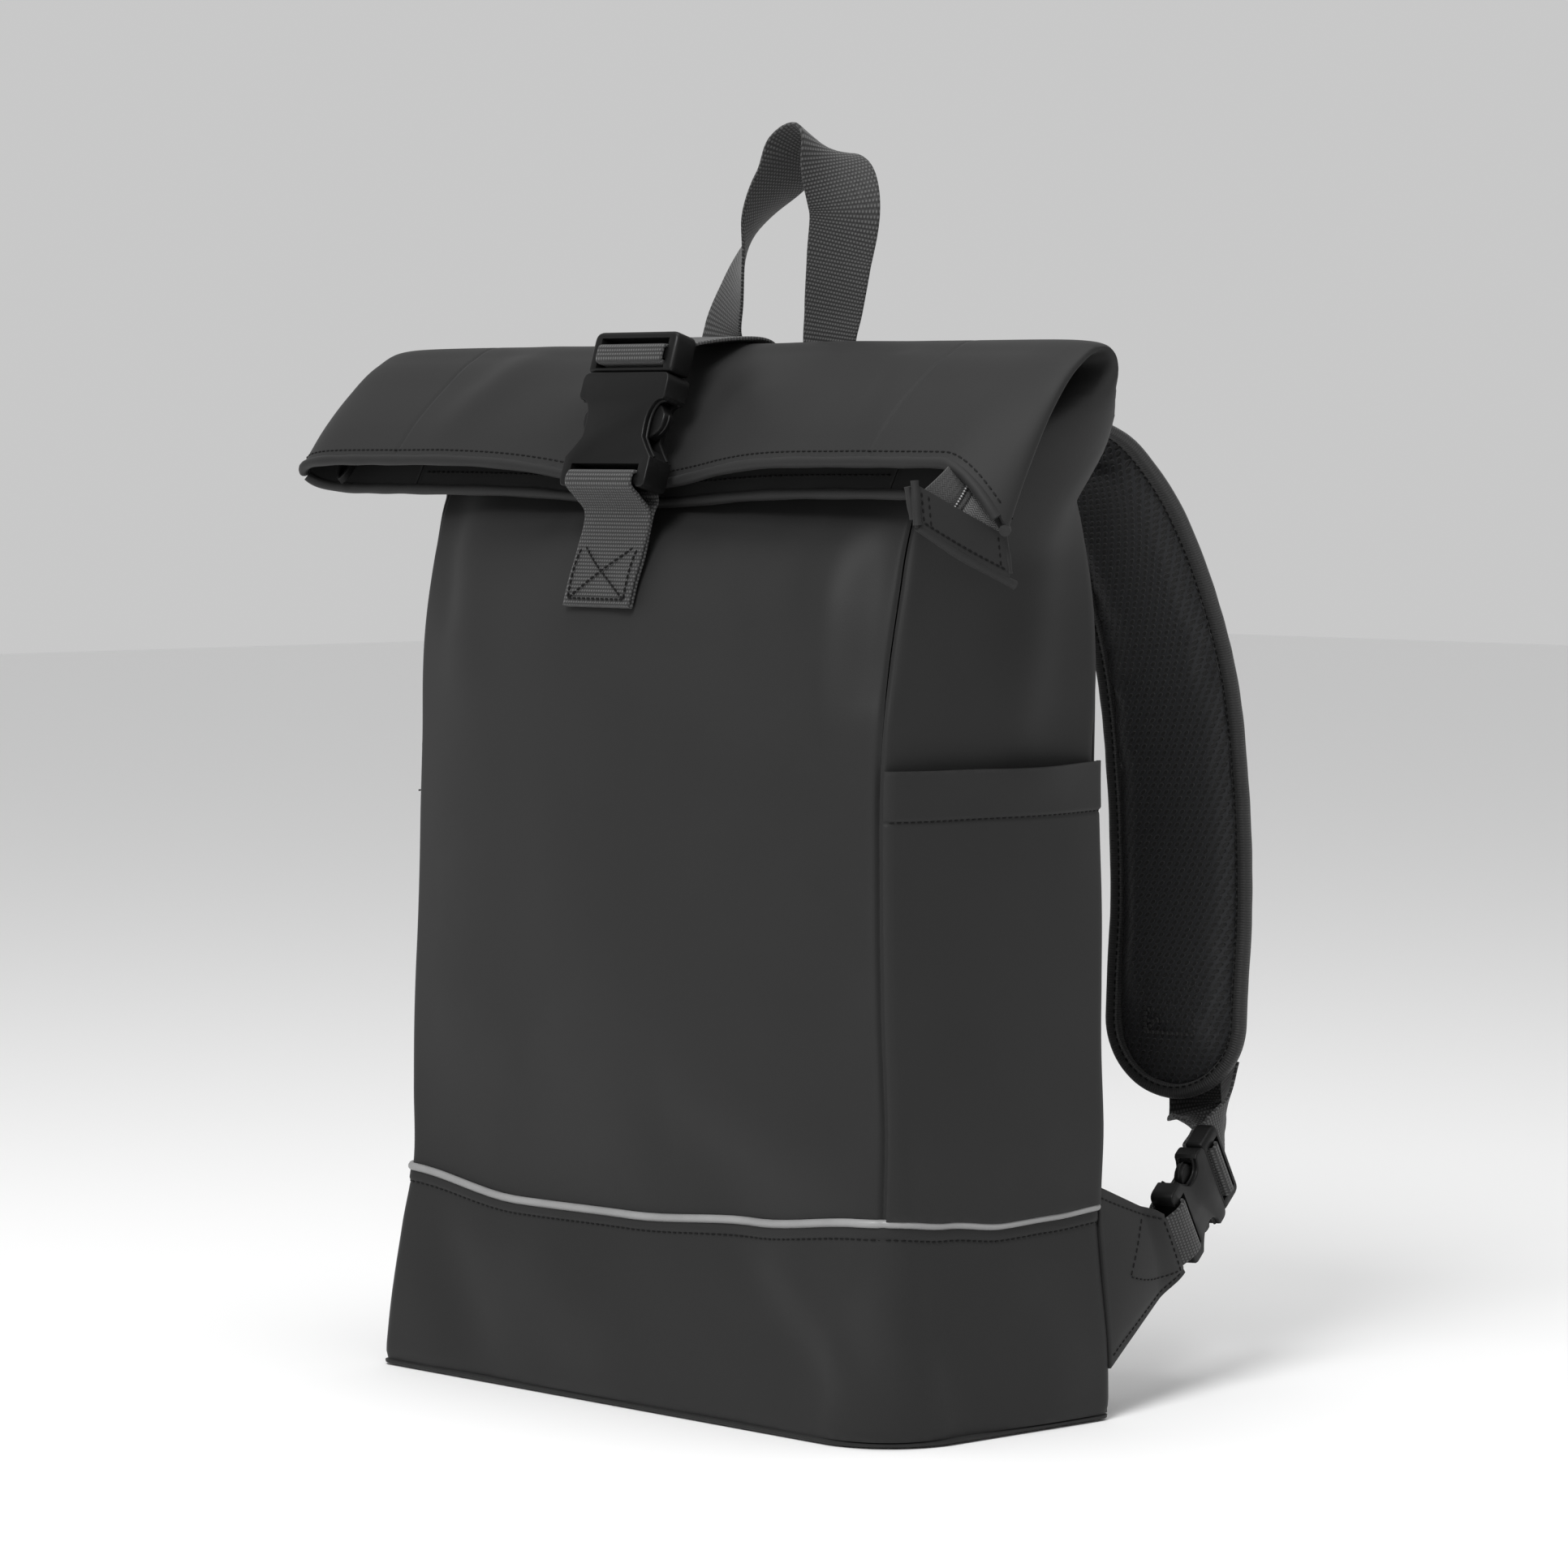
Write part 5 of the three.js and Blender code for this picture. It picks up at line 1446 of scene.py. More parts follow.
def female_outline(size):
    half, waist, shoulder = size["half"], size["waist"], size["female"]
    top, foot, lug = shoulder * 0.76, shoulder * 0.38, 0.0012
    right = [(half - 0.0056, 0), (half - 0.0050, -lug), (half - 0.0030, -lug)]
    right += bend((half - 0.003, -lug), (half, -lug), (half, 0.0025))
    right += [(half, shoulder * 0.24)]
    right += bend((half, shoulder * 0.24), (waist + 0.003, foot - 0.002), (waist, foot + 0.002))
    right += bend((waist, foot + 0.002), (waist - 0.002, top), (half - 0.001, top))
    right += [(half, top + 0.0012), (half, shoulder - 0.004)]
    right += bend((half, shoulder - 0.004), (half, shoulder), (half - 0.004, shoulder))
    return right + [(-x, y) for x, y in reversed(right)]


def window_edge(size):
    """The edge of the front face beside a side window, from its foot to its top."""
    half, waist, shoulder = size["half"], size["waist"], size["female"]
    top, foot = shoulder * 0.76, shoulder * 0.38
    start = (half - 0.0004, shoulder * 0.25)
    return ([start] + bend(start, (waist + 0.003, foot - 0.002), (waist, foot + 0.002), 8)
            + bend((waist, foot + 0.002), (waist - 0.002, top), (half - 0.0012, top - 0.0002), 10))


def female_half(name, size, frame):
    half, thick, shoulder = size["half"], size["thick"], size["female"]
    body = slab(name, female_outline(size), -thick / 2, thick / 2, 0.0022, 4)
    inside = block("inside", -half + 0.0032, shoulder * 0.38 - 0.003, half - 0.0032,
                   shoulder + 0.005, -size["cavity"] / 2, size["cavity"] / 2)
    slot = block("slot", -size["slot"] / 2, size["bar"], size["slot"] / 2,
                 size["bar"] + size["opening"], -thick, thick)
    cut(body, inside, slot)
    round_edges(body, 0.00035, 2)
    beads = []
    for side in (-1, 1):
        for face in (-1, 1):
            edge = [Vector((side * (x + 0.0001), y, face * (size["cavity"] / 2 + 0.0007)))
                    for x, y in window_edge(size)]
            beads.append(tube("window bead", [along_points(edge, t) for t in spread(40)],
                              0.00062, 8))
    join(body, *beads)
    frame.set_in(body)
    return body


def male_half(name, size, frame):
    half, shoulder = size["half"], size["female"]
    foot = shoulder + GAP
    top = foot + size["male"]
    deep = size["thick"] / 2 - FRAME_INSET
    side = half - FRAME_INSET
    corner = 0.0042
    outline = [(-side, foot), (side, foot), (side, top - corner)]
    outline += bend((side, top - corner), (side, top), (side - corner, top))
    outline += [(-side + corner, top)]
    outline += bend((-side + corner, top), (-side, top), (-side, top - corner))
    body = slab(name, outline, -deep, deep, 0.0019, 4)
    upper_to = top - size["rim"]
    lower_from = foot + size["lip"]
    cut(body,
        block("upper", -size["slot"] / 2, upper_to - size["opening"], size["slot"] / 2, upper_to,
              -deep * 2, deep * 2),
        block("lower", -size["slot"] / 2, lower_from, size["slot"] / 2,
              lower_from + size["lower_slot"], -deep * 2, deep * 2))
    round_edges(body, 0.0004, 2)
    play = size["cavity"] / 2 - GAP
    root, tip, knee = half - 0.005, shoulder * 0.42, shoulder * WINDOW_AT
    waist = size["waist"]
    arm = [(root, foot + 0.001), (root - 0.0045, foot + 0.001), (waist - 0.005, tip + 0.003),
           (waist - 0.001, tip)]
    arm += bend((waist - 0.001, tip), (half - 0.0005, knee - 0.004), (half - 0.0014, knee + 0.003))
    arm += bend((half - 0.0014, knee + 0.003), (half - 0.003, shoulder * 0.70),
                (root - 0.0005, shoulder * 0.74))
    arms = [slab("arm", arm, -play, play, 0.0011, 3),
            slab("arm", [(-x, y) for x, y in reversed(arm)], -play, play, 0.0011, 3),
            block("guide", -0.004, shoulder * 0.55, 0.004, foot + 0.001, -play, play, 0.0006)]
    for place in (-1, 1):
        ridge_line = [Vector((place * x, y, 0)) for x, y in
                      bend((waist - 0.0008, tip + 0.001), (half - 0.0002, knee - 0.004),
                           (half - 0.0012, knee + 0.003), 12)]
        arms.append(tube("prong ridge", ridge_line, 0.00045, 6))
    join(body, *arms)
    frame.set_in(body)
    return body


# How far webbing's middle stays from a bar that it runs round.
BAR_CLEAR = WEBBING_THICKNESS / 2 + GAP + 0.0002


def round_female_bar(frame, size):
    face = size["thick"] / 2
    slot = size["bar"] + BAR_CLEAR
    corner = 0.7 * BAR_CLEAR
    return [
        frame.spot(-0.0005, -face - BAR_CLEAR),
        frame.spot(size["bar"] + corner, -face - corner),
        frame.spot(slot, -face / 2),
        frame.spot(slot, face / 2),
        frame.spot(size["bar"] + corner, face + corner),
        frame.spot(-0.0005, face + BAR_CLEAR),
    ]


def over_male_bar(frame, size):
    foot = size["female"] + GAP + size["lip"] + size["lower_slot"]
    top = size["female"] + GAP + size["male"] - size["rim"] - size["opening"]
    face = size["thick"] / 2 - FRAME_INSET
    corner = 0.7 * BAR_CLEAR
    return [
        frame.spot(top + BAR_CLEAR, -face / 2),
        frame.spot(top + BAR_CLEAR, face / 2),
        frame.spot(top + corner, face + corner),
        frame.spot(lerp(foot, top, 0.5), face + BAR_CLEAR),
        frame.spot(foot - corner, face + corner),
        frame.spot(foot - BAR_CLEAR, face / 2),
        frame.spot(foot - BAR_CLEAR, -face / 2),
    ]


SIDEWAYS = Vector((1, 0, 0))
BACKWARD = Vector((0, 1, 0))
FRONT_BUCKLE = buckle_sizes(CLOSURE_WEBBING)
LEAN_UP = math.sqrt(1 - BUCKLE_LEAN ** 2)
FRONT_FRAME = BuckleFrame(BUCKLE_FOOT, Vector((0, BUCKLE_LEAN, LEAN_UP)),
                          Vector((0, -LEAN_UP, BUCKLE_LEAN)))


def on_front(height, stand, x=0.0):
    return standing_off("front", distance_at_height(height), 0.5 + x / BAG_WIDTH, stand)


def on_back(height, x, stand):
    return standing_off("back", distance_at_height(height), 0.5 - x / BAG_WIDTH, stand)


def add_buckle(size, frame, female, male):
    """Both halves, fastened. female, male: a half's own name and its node."""
    finish(female_half(female[0], size, frame), "moulded", female[1], shade=35)
    finish(male_half(male[0], size, frame), "moulded", male[1], shade=35)


# The front tab: up the front, round the female half's bar and down over itself.
TAB_NECK = Vector((0, -0.0675, 0.3640))
TAB_RISE = 0.0022


def add_front_tab():
    first = WEBBING_THICKNESS / 2 + GAP + 0.0004
    second = first + WEBBING_THICKNESS + GAP
    middle = lerp(TAB_BOTTOM, TAB_TOP, 0.5)
    apart = Vector((0, -WEBBING_THICKNESS - GAP, 0.0004))
    places = [
        on_front(TAB_BOTTOM, first),
        on_front(middle, first + 0.0006),
        on_front(TAB_TOP, first + TAB_RISE),
        TAB_NECK,
        TAB_NECK + Vector((0, 0.0025, 0.0050)),
        *round_female_bar(FRONT_FRAME, FRONT_BUCKLE),
        TAB_NECK + Vector((0, -0.0050, 0.0060)) + apart,
        TAB_NECK + apart,
        on_front(TAB_TOP, second + TAB_RISE),
        on_front(middle, second + 0.0006),
        on_front(TAB_BOTTOM, second),
    ]
    lay_webbing("front_tab_webbing", "front_tab", [(spot, SIDEWAYS) for spot in places],
                CLOSURE_WEBBING)
    over = second + WEBBING_THICKNESS / 2 + 0.0003
    low, high, side = TAB_BOTTOM + 0.0025, TAB_TOP + 0.003, CLOSURE_WEBBING / 2 - 0.003
    corners = [(-side, low), (side, low), (side, high), (-side, high)]
    lines = list(zip(corners, corners[1:] + corners[:1])) + [
        (corners[0], corners[2]), (corners[1], corners[3])]
    runs = []
    for (x0, z0), (x1, z1) in lines:
        run = []
        for t in spread(12):
            height = lerp(z0, z1, t)
            rise = TAB_RISE * smooth(height, TAB_BOTTOM, TAB_TOP)
            spot = on_front(height, over + rise)
            run.append((spot + SIDEWAYS * lerp(x0, x1, t), Vector((0, -1, 0.1))))
        runs.append(run)
    sew("tab_stitches", runs, "webbing", pitch=0.0027, length=0.0021, radius=0.00042)


def add_closure_strap():
    stand = WEBBING_THICKNESS / 2 + GAP + 0.0003

    def over_fold(degrees):
        angle = math.radians(degrees)
        radius = FOLD_RADIUS + stand + 0.0004
        return Vector((0, FOLD_CENTRE_Y + radius * math.cos(angle),
                       FOLD_CENTRE_Z + radius * math.sin(angle)))

    size = FRONT_BUCKLE
    top = size["female"] + GAP + size["male"]
    behind = size["thick"] / 2 + BAR_CLEAR
    places = [
        on_back(CLOSURE_SEWN_HEIGHT, 0, stand),
        on_back(lerp(CLOSURE_SEWN_HEIGHT, FOLD_CENTRE_Z, 0.35), 0, stand),
        on_back(lerp(CLOSURE_SEWN_HEIGHT, FOLD_CENTRE_Z, 0.7), 0, stand + 0.0003),
        over_fold(10),
        over_fold(50),
        over_fold(85),
        FRONT_FRAME.spot(top - 0.001, -behind - 0.002),
        *over_male_bar(FRONT_FRAME, size),
        FRONT_FRAME.spot(top - size["male"] + 0.005, -behind - 0.0005),
    ]
    lay_webbing("closure_webbing", "closure_strap", [(spot, SIDEWAYS) for spot in places],
                CLOSURE_WEBBING)


# The grab handle stands up behind the fold. Shares of its rise, and of half its spacing.
# turn: how far round the webbing has turned, in degrees. tip: how far its near edge is raised.
HANDLE_COLUMNS = ("side", "rise", "lean", "turn", "tip")
HANDLE_ROWS = (
    (-1.00, 0.00, 0.02, -3, 0),
    (-0.98, 0.12, 0.02, -12, 0),
    (-0.82, 0.27, 0.02, -22, 0),
    (-0.54, 0.47, 0.01, -38, 0.05),
    (-0.28, 0.62, 0.01, -54, 0.2),
    (0.20, 0.80, 0.00, -72, 0.45),
    (0.48, 0.915, 0.00, -84, 0.6),
    (0.86, 0.95, 0.00, -100, 0.6),
    (1.14, 0.85, 0.00, -125, 0.35),
    (1.33, 0.66, 0.00, -148, 0.1),
    (1.20, 0.42, 0.01, -163, 0),
    (1.07, 0.20, 0.02, -172, 0),
    (1.00, 0.00, 0.02, -180, 0),
)


def add_grab_handle():
    stand = WEBBING_THICKNESS * 1.5 + 2 * GAP + 0.0008
    foot = on_back(FOLD_CENTRE_Z - 0.014, HANDLE_SPACING / 2, stand)
    loop = []
    for values in HANDLE_ROWS:
        row = dict(zip(HANDLE_COLUMNS, values))
        turn = math.radians(row["turn"])
        place = Vector((row["side"] * HANDLE_SPACING / 2,
                        foot.y + row["lean"] * HANDLE_RISE - 0.003,
                        FOLD_HEIGHT - 0.004 + row["rise"] * (HANDLE_RISE + 0.004)))
        across = Vector((math.cos(turn), math.sin(turn), row["tip"])).normalized()
        loop.append((place, across))

    def leg(side):
        return [(on_back(z, side * HANDLE_SPACING / 2, stand), Vector((-side, 0, 0)))
                for z in (HANDLE_SEWN_HEIGHT, FOLD_CENTRE_Z - 0.022)]

    spots = leg(-1) + loop + leg(1)[::-1]
    lay_webbing("handle_webbing", "grab_handle", spots, HANDLE_WEBBING)
    on_handle = stand + WEBBING_THICKNESS / 2 + 0.0002
    on_closure = WEBBING_THICKNESS + GAP + 0.0006
    runs = []
    for x, half, foot_height, lift in (
        (-HANDLE_SPACING / 2, HANDLE_WEBBING / 2 - 0.002, HANDLE_SEWN_HEIGHT, on_handle),
        (HANDLE_SPACING / 2, HANDLE_WEBBING / 2 - 0.002, HANDLE_SEWN_HEIGHT, on_handle),
        (0, CLOSURE_WEBBING / 2 - 0.003, CLOSURE_SEWN_HEIGHT, on_closure),
    ):
        for low in (0.003, 0.012):
            runs.append([(on_back(foot_height + low, x + t * half, lift), BACKWARD)
                         for t in spread(12, -1, 1)])
    sew("handle_stitches", runs, "webbing")


# The shoulder straps: rows along a strap's middle line. away: share of the strap's bulge
# behind the bag. out: share of half the bag's width. turn: degrees its outer edge swings
# back. thick: share of the strap's thickness.
STRAP_COLUMNS = ("up", "away", "out", "turn", "thick")
STRAP_ROWS = (
    (1.00, 0.000, 0.56, 0, 0.45),
    (1.055, 0.075, 0.57, 0, 0.60),
    (1.095, 0.220, 0.59, 2, 0.85),
    (1.075, 0.390, 0.61, 4, 1.00),
    (1.005, 0.560, 0.63, 6, 1.00),
    (0.900, 0.710, 0.635, 10, 1.00),
    (0.735, 0.860, 0.635, 14, 1.00),
    (0.560, 0.925, 0.635, 16, 1.00),
    (0.386, 0.945, 0.635, 16, 1.00),
    (0.243, 0.925, 0.635, 16, 1.00),
    (0.100, 0.912, 0.635, 14, 0.95),
)
STRAP_STEP = 0.004
STRAP_END = STRAP_WIDTH / 2
OUTLINE_STEP = 0.0025


class ShoulderStrap:
    """The middle line of a shoulder strap, read by the distance along it."""

    def __init__(self, side):
        self.side = side
        rows = [dict(zip(STRAP_COLUMNS, values)) for values in STRAP_ROWS]
        stand = rows[0]["thick"] * STRAP_THICKNESS / 2 + GAP
        start = on_back(STRAP_SEWN_HEIGHT, rows[0]["out"] * BAG_WIDTH / 2, stand)
        spots = []
        for row in rows:
            turn = math.radians(row["turn"])
            spots.append((
                Vector((side * row["out"] * BAG_WIDTH / 2, start.y + row["away"] * STRAP_BULGE,
                        lerp(STRAP_LOW, start.z, row["up"]))),
                Vector((math.cos(turn), side * math.sin(turn), 0))))
        fine, length = smooth_spots(spots, STRAP_STEP)
        self.frames = list(frames_along(fine))
        self.step = length / (len(fine) - 1)
        self.rows = rows
        self.length = length + 0.004

    def frame(self, distance):
        last = len(self.frames) - 1
        place = distance / self.step
        i = int(clamp(place, 0, last - 1))
        t = place - i
        (p0, a0, f0), (p1, a1, f1) = self.frames[i], self.frames[i + 1]
        if t > 1:
            return p1 + (p1 - p0).normalized() * (t - 1) * self.step, a1, f1
        return p0.lerp(p1, t), a0.lerp(a1, t).normalized(), f0.lerp(f1, t).normalized()

    def thickness(self, distance):
        place = clamp(distance / self.length, 0, 1) * (len(self.rows) - 1)
        i = min(int(place), len(self.rows) - 2)
        return STRAP_THICKNESS * lerp(self.rows[i]["thick"], self.rows[i + 1]["thick"], place - i)

    def half_width(self, distance, inset=0.0):
        left = clamp((self.length - inset - distance) / (STRAP_END - inset), 0, 1)
        return (STRAP_END - inset) * math.sqrt(1 - (1 - left) ** 2)

    def spot(self, distance, across, out=0.0):
        place, wide, face = self.frame(distance)
        return place + wide * across + face * out

    def outer_face(self):
        """1 where the frame's face points away from the bag, -1 where it points to it."""
        return 1 if self.frame(self.length * 0.6)[2].y > 0 else -1

    def outline(self, inset):
        """(distance, across, outward) from the root down one edge, round and up the other."""
        radius = STRAP_END - inset
        turn_at = self.length - STRAP_END
        straight = steps_between(0, turn_at, OUTLINE_STEP)[:-1]
        marks = [(distance, radius, (0, 1)) for distance in straight]
        for angle in spread(round(math.pi * radius / OUTLINE_STEP), 0, math.pi):
            marks.append((turn_at + radius * math.sin(angle), radius * math.cos(angle),
                          (math.sin(angle), math.cos(angle))))
        return marks + [(distance, -radius, (0, -1)) for distance in reversed(straight)]


# The pad: how far its cloth is blown up, its thickness as a share of the strap's, its section.
PAD_PUFF = 0.0026
PAD_THICKNESS = 0.86
CLOTH_FRAMES = 20
PAD_SECTION = ((-1, -0.30), (-0.93, -0.72), (-0.72, -0.95), (-0.36, -1), (0, -1), (0.36, -1),
               (0.72, -0.95), (0.93, -0.72), (1, -0.30), (1, 0.30), (0.93, 0.72), (0.72, 0.95),
               (0.36, 1), (0, 1), (-0.36, 1), (-0.72, 0.95), (-0.93, 0.72), (-1, 0.30),
               (-1, -0.30))


def pad_core(name, strap):
    inset = STRAP_BINDING * 0.45
    marks = steps_between(0.0, strap.length - 0.010, 0.006)
    marks += [strap.length - 0.0075, strap.length - 0.0052, strap.length - 0.0036]
    rings = []
    for distance in marks:
        half = max(strap.half_width(distance, inset), 0.003)
        thick = strap.thickness(distance) / 2 * PAD_THICKNESS
        thick *= smooth(strap.length - distance, -0.004, 0.012) * 0.45 + 0.55
        rings.append([tuple(strap.spot(distance, a * half, f * thick)) for a, f in PAD_SECTION])
    piece = sheet(name, rings, lambda r, c: (0.0, 0.0))
    close_tube(piece)
    return piece


def puffed(piece):
    """The pad's cloth blown up over its foam, each point held within the puff's limit."""
    apply_modifier(piece, "REMESH", mode="VOXEL", voxel_size=0.004)
    before = vertex_points(piece.data)
    modifier = piece.modifiers.new("cloth", "CLOTH")
    modifier.settings.quality = 5
    modifier.settings.use_pressure = True
    modifier.settings.uniform_pressure_force = 4
    modifier.settings.effector_weights.gravity = 0
    modifier.point_cache.frame_start = 1
    modifier.point_cache.frame_end = CLOTH_FRAMES
    scene = bpy.context.scene
    for step in range(1, CLOTH_FRAMES + 1):
        scene.frame_set(step)
    after = vertex_points(piece.evaluated_get(bpy.context.evaluated_depsgraph_get()).data)
    piece.modifiers.remove(modifier)
    scene.frame_set(1)
    move = after - before
    far = np.linalg.norm(move, axis=1, keepdims=True)
    move *= np.minimum(1, PAD_PUFF / np.maximum(far, 1e-9))
    piece.data.vertices.foreach_set("co", (before + move).ravel())
    piece.data.update()


def lay_weave(piece, strap):
    """A uv map that follows the strap: x across it, y along it, in metres."""
    places = np.array([tuple(place) for place, _, _ in strap.frames])
    wide = np.array([tuple(across) for _, across, _ in strap.frames])
    ahead = np.gradient(places, axis=0)
    ahead /= np.linalg.norm(ahead, axis=1, keepdims=True)
    points = vertex_points(piece.data)
    nearest = np.empty(len(points), dtype=int)
    for start in range(0, len(points), 4000):
        part = points[start:start + 4000]
        gaps = ((part[:, None, :] - places[None]) ** 2).sum(2)
        nearest[start:start + 4000] = gaps.argmin(1)
    offset = points - places[nearest]
    across = (offset * wide[nearest]).sum(1)
    along = nearest * strap.step + (offset * ahead[nearest]).sum(1)
    places = np.stack([across, along], 1)[corner_vertices(piece.data)]
    layer = piece.data.uv_layers.get("weave") or piece.data.uv_layers.new(name="weave")
    layer.data.foreach_set("uv", places.astype(np.float32).ravel())


def add_pad(name, strap):
    piece = pad_core(f"pad_{name}", strap)
    puffed(piece)
    apply_modifier(piece, "SUBSURF", levels=1, render_levels=1)
    lay_weave(piece, strap)
    cover = copy_of(piece, f"pad_cover_{name}")
    outer = strap.outer_face()
    faces = np.array([tuple(face) for _, _, face in strap.frames])
    places = np.array([tuple(place) for place, _, _ in strap.frames])
    only(cover)
    bpy.ops.object.mode_set(mode="EDIT")
    bpy.ops.mesh.select_all(action="DESELECT")
    bpy.ops.object.mode_set(mode="OBJECT")
    for polygon in cover.data.polygons:
        i = ((places - np.array(tuple(polygon.center))) ** 2).sum(1).argmin()
        polygon.select = bool(np.dot(faces[i], tuple(polygon.normal)) * outer < 0.25)
    bpy.ops.object.mode_set(mode="EDIT")
    bpy.ops.mesh.delete(type="FACE")
    bpy.ops.object.mode_set(mode="OBJECT")
    thicken(cover, 0.0006, 1.0)
    finish(piece, "mesh", f"strap_pad_{name}")
    finish(cover, "coated")


# The tape round a strap's edge, pulled in a little between the pad's puckers.
TAPE_SECTION = ((-1, -0.45), (-0.93, -0.78), (-0.7, -0.94), (-0.3, -1), (0.2, -0.98),
                (0.6, -0.88), (0.86, -0.62), (0.97, -0.3), (1, 0), (0.97, 0.3), (0.86, 0.62),
                (0.6, 0.88), (0.2, 0.98), (-0.3, 1), (-0.7, 0.94), (-0.93, 0.78), (-1, 0.45),
                (-1, -0.45))


def tape_half_height(strap, distance):
    return min(strap.thickness(distance) * 0.72, 0.0064) / 2


def add_binding(name, strap):
    half = STRAP_BINDING / 2
    marks = strap.outline(half)
    rings = []
    for n, (distance, across, outward) in enumerate(marks):
        place, wide, face = strap.frame(distance)
        ahead = wide.cross(face)
        nearby = strap.frame(distance + 0.002)[0] - strap.frame(distance - 0.002)[0]
        if ahead.dot(nearby) < 0:
            ahead = -ahead
        out = (ahead * outward[0] + wide * outward[1]).normalized()
        high = tape_half_height(strap, distance)
        high *= 1 + 0.05 * noise.noise(Vector((n * 0.35, strap.side * 3.1, 0.4)))
        push = 0.0004 * noise.noise(Vector((n * 0.22, 1.7, strap.side * 2.3)))
        middle = place + wide * across
        rings.append([tuple(middle + out * (a * half + push) + face * f * high)
                      for a, f in TAPE_SECTION])
    total = OUTLINE_STEP * len(marks)
    around = [0.0]
    for (a0, f0), (a1, f1) in zip(TAPE_SECTION, TAPE_SECTION[1:]):
        around.append(around[-1] + math.hypot((a1 - a0) * half, (f1 - f0) * 0.003))
    piece = sheet(f"binding_{name}", rings,
                  lambda r, c: (around[c], total * r / (len(rings) - 1)))
    close_tube(piece)
    finish(piece, "binding", f"strap_binding_{name}")
    runs = []
    for facing in (-1, 1):
        run = []
        for distance, across, outward in strap.outline(STRAP_BINDING - 0.0011):
            _, _, face = strap.frame(distance)
            high = tape_half_height(strap, distance) * 0.98 + STITCH_LIFT
            run.append((strap.spot(distance, across, facing * high), face * facing))
        runs.append(run)
    sew(f"strap_stitches_{name}", runs, "binding")


def add_sewn_patch(name, strap):
    """The box of thread that holds the lower webbing, on the strap's mesh side."""
    inner = -strap.outer_face()
    low, high, wide = strap.length - 0.052, strap.length - 0.028, 0.0115
    lines = [((low, -wide), (high, -wide)), ((low, wide), (high, wide)),
             ((low, -wide), (high, wide)), ((low, wide), (high, -wide))]
    for distance in spread(5, low, high):
        lines.append(((distance, -wide), (distance, wide)))
    runs = []
    for (d0, x0), (d1, x1) in lines:
        run = []
        for t in spread(10):
            distance, x = lerp(d0, d1, t), lerp(x0, x1, t)
            _, _, face = strap.frame(distance)
            stand = strap.thickness(distance) / 2 * PAD_THICKNESS + PAD_PUFF * 0.8
            run.append((strap.spot(distance, x, inner * stand), face * inner))
        runs.append(run)
    finish(stitches(f"patch_stitches_{name}", runs, pitch=0.0022, length=0.0019, radius=0.0007),
           "binding")


LOWER_BUCKLE = buckle_sizes(LOWER_WEBBING)


def lower_frame(side):
    foot = Vector((side * LOWER_FOOT.x, LOWER_FOOT.y, LOWER_FOOT.z))
    return BuckleFrame(foot, Vector((-side * 0.23, 0.80, 0.55)),
                       Vector((side * 0.96, 0.26, 0.03)))


def add_lower_webbing(name, strap, frame):
    """Lays the webbing and says which way its width runs at the buckle."""
    side, size = strap.side, LOWER_BUCKLE
    end, end_across, end_face = strap.frame(strap.length)
    beyond = (end - strap.frame(strap.length - 0.004)[0]).normalized()
    outer = end_face * strap.outer_face()
    aside = Vector((side * 0.007, 0, 0))
    sewn_at = strap.length - 0.022
    stand = strap.thickness(sewn_at) / 2 + WEBBING_THICKNESS / 2 + GAP + 0.0012
    start = strap.spot(sewn_at, 0, stand * strap.outer_face()) + aside
    end_across = end_across * side
    facing = frame.across if frame.across.dot(end_across) > 0 else -frame.across
    middle = (facing + end_across).normalized()
    top = size["female"] + GAP + size["male"]
    behind = size["thick"] / 2 + BAR_CLEAR
    under = behind + WEBBING_THICKNESS + 2 * GAP
    bar_foot = size["female"] + GAP + size["lip"] + size["lower_slot"]
    enter = frame.spot(top + 0.006, -under - 0.002)
    leave = end + beyond * 0.004 + outer * 0.009 + aside
    carried = [(start, end_across), (leave, end_across), (leave.lerp(enter, 0.5), middle)]
    through = [enter, frame.spot(top - 0.001, -under), frame.spot(bar_foot + 0.001, -under),
               frame.spot(bar_foot - BAR_CLEAR + 0.0002, -behind + 0.0002),
               *over_male_bar(frame, size)[::-1], frame.spot(top - 0.002, -behind)]
    tip = frame.foot + Vector((side * LOWER_TAIL.x, LOWER_TAIL.y, LOWER_TAIL.z))
    tip_across = Vector((-side * 0.90, 0.44, -0.20)).normalized()
    out = frame.spot(top + 0.007, -behind + 0.001)
    tail = [(out, facing), (out.lerp(tip, 0.45) + Vector((0, 0.003, -0.002)),
                            facing.lerp(tip_across, 0.5)), (tip, tip_across)]
    spots = carried + [(spot, facing) for spot in through] + tail
    lay_webbing(f"lower_webbing_band_{name}", f"lower_webbing_{name}", spots, LOWER_WEBBING)
    return facing


WING_THICKNESS = 0.0024


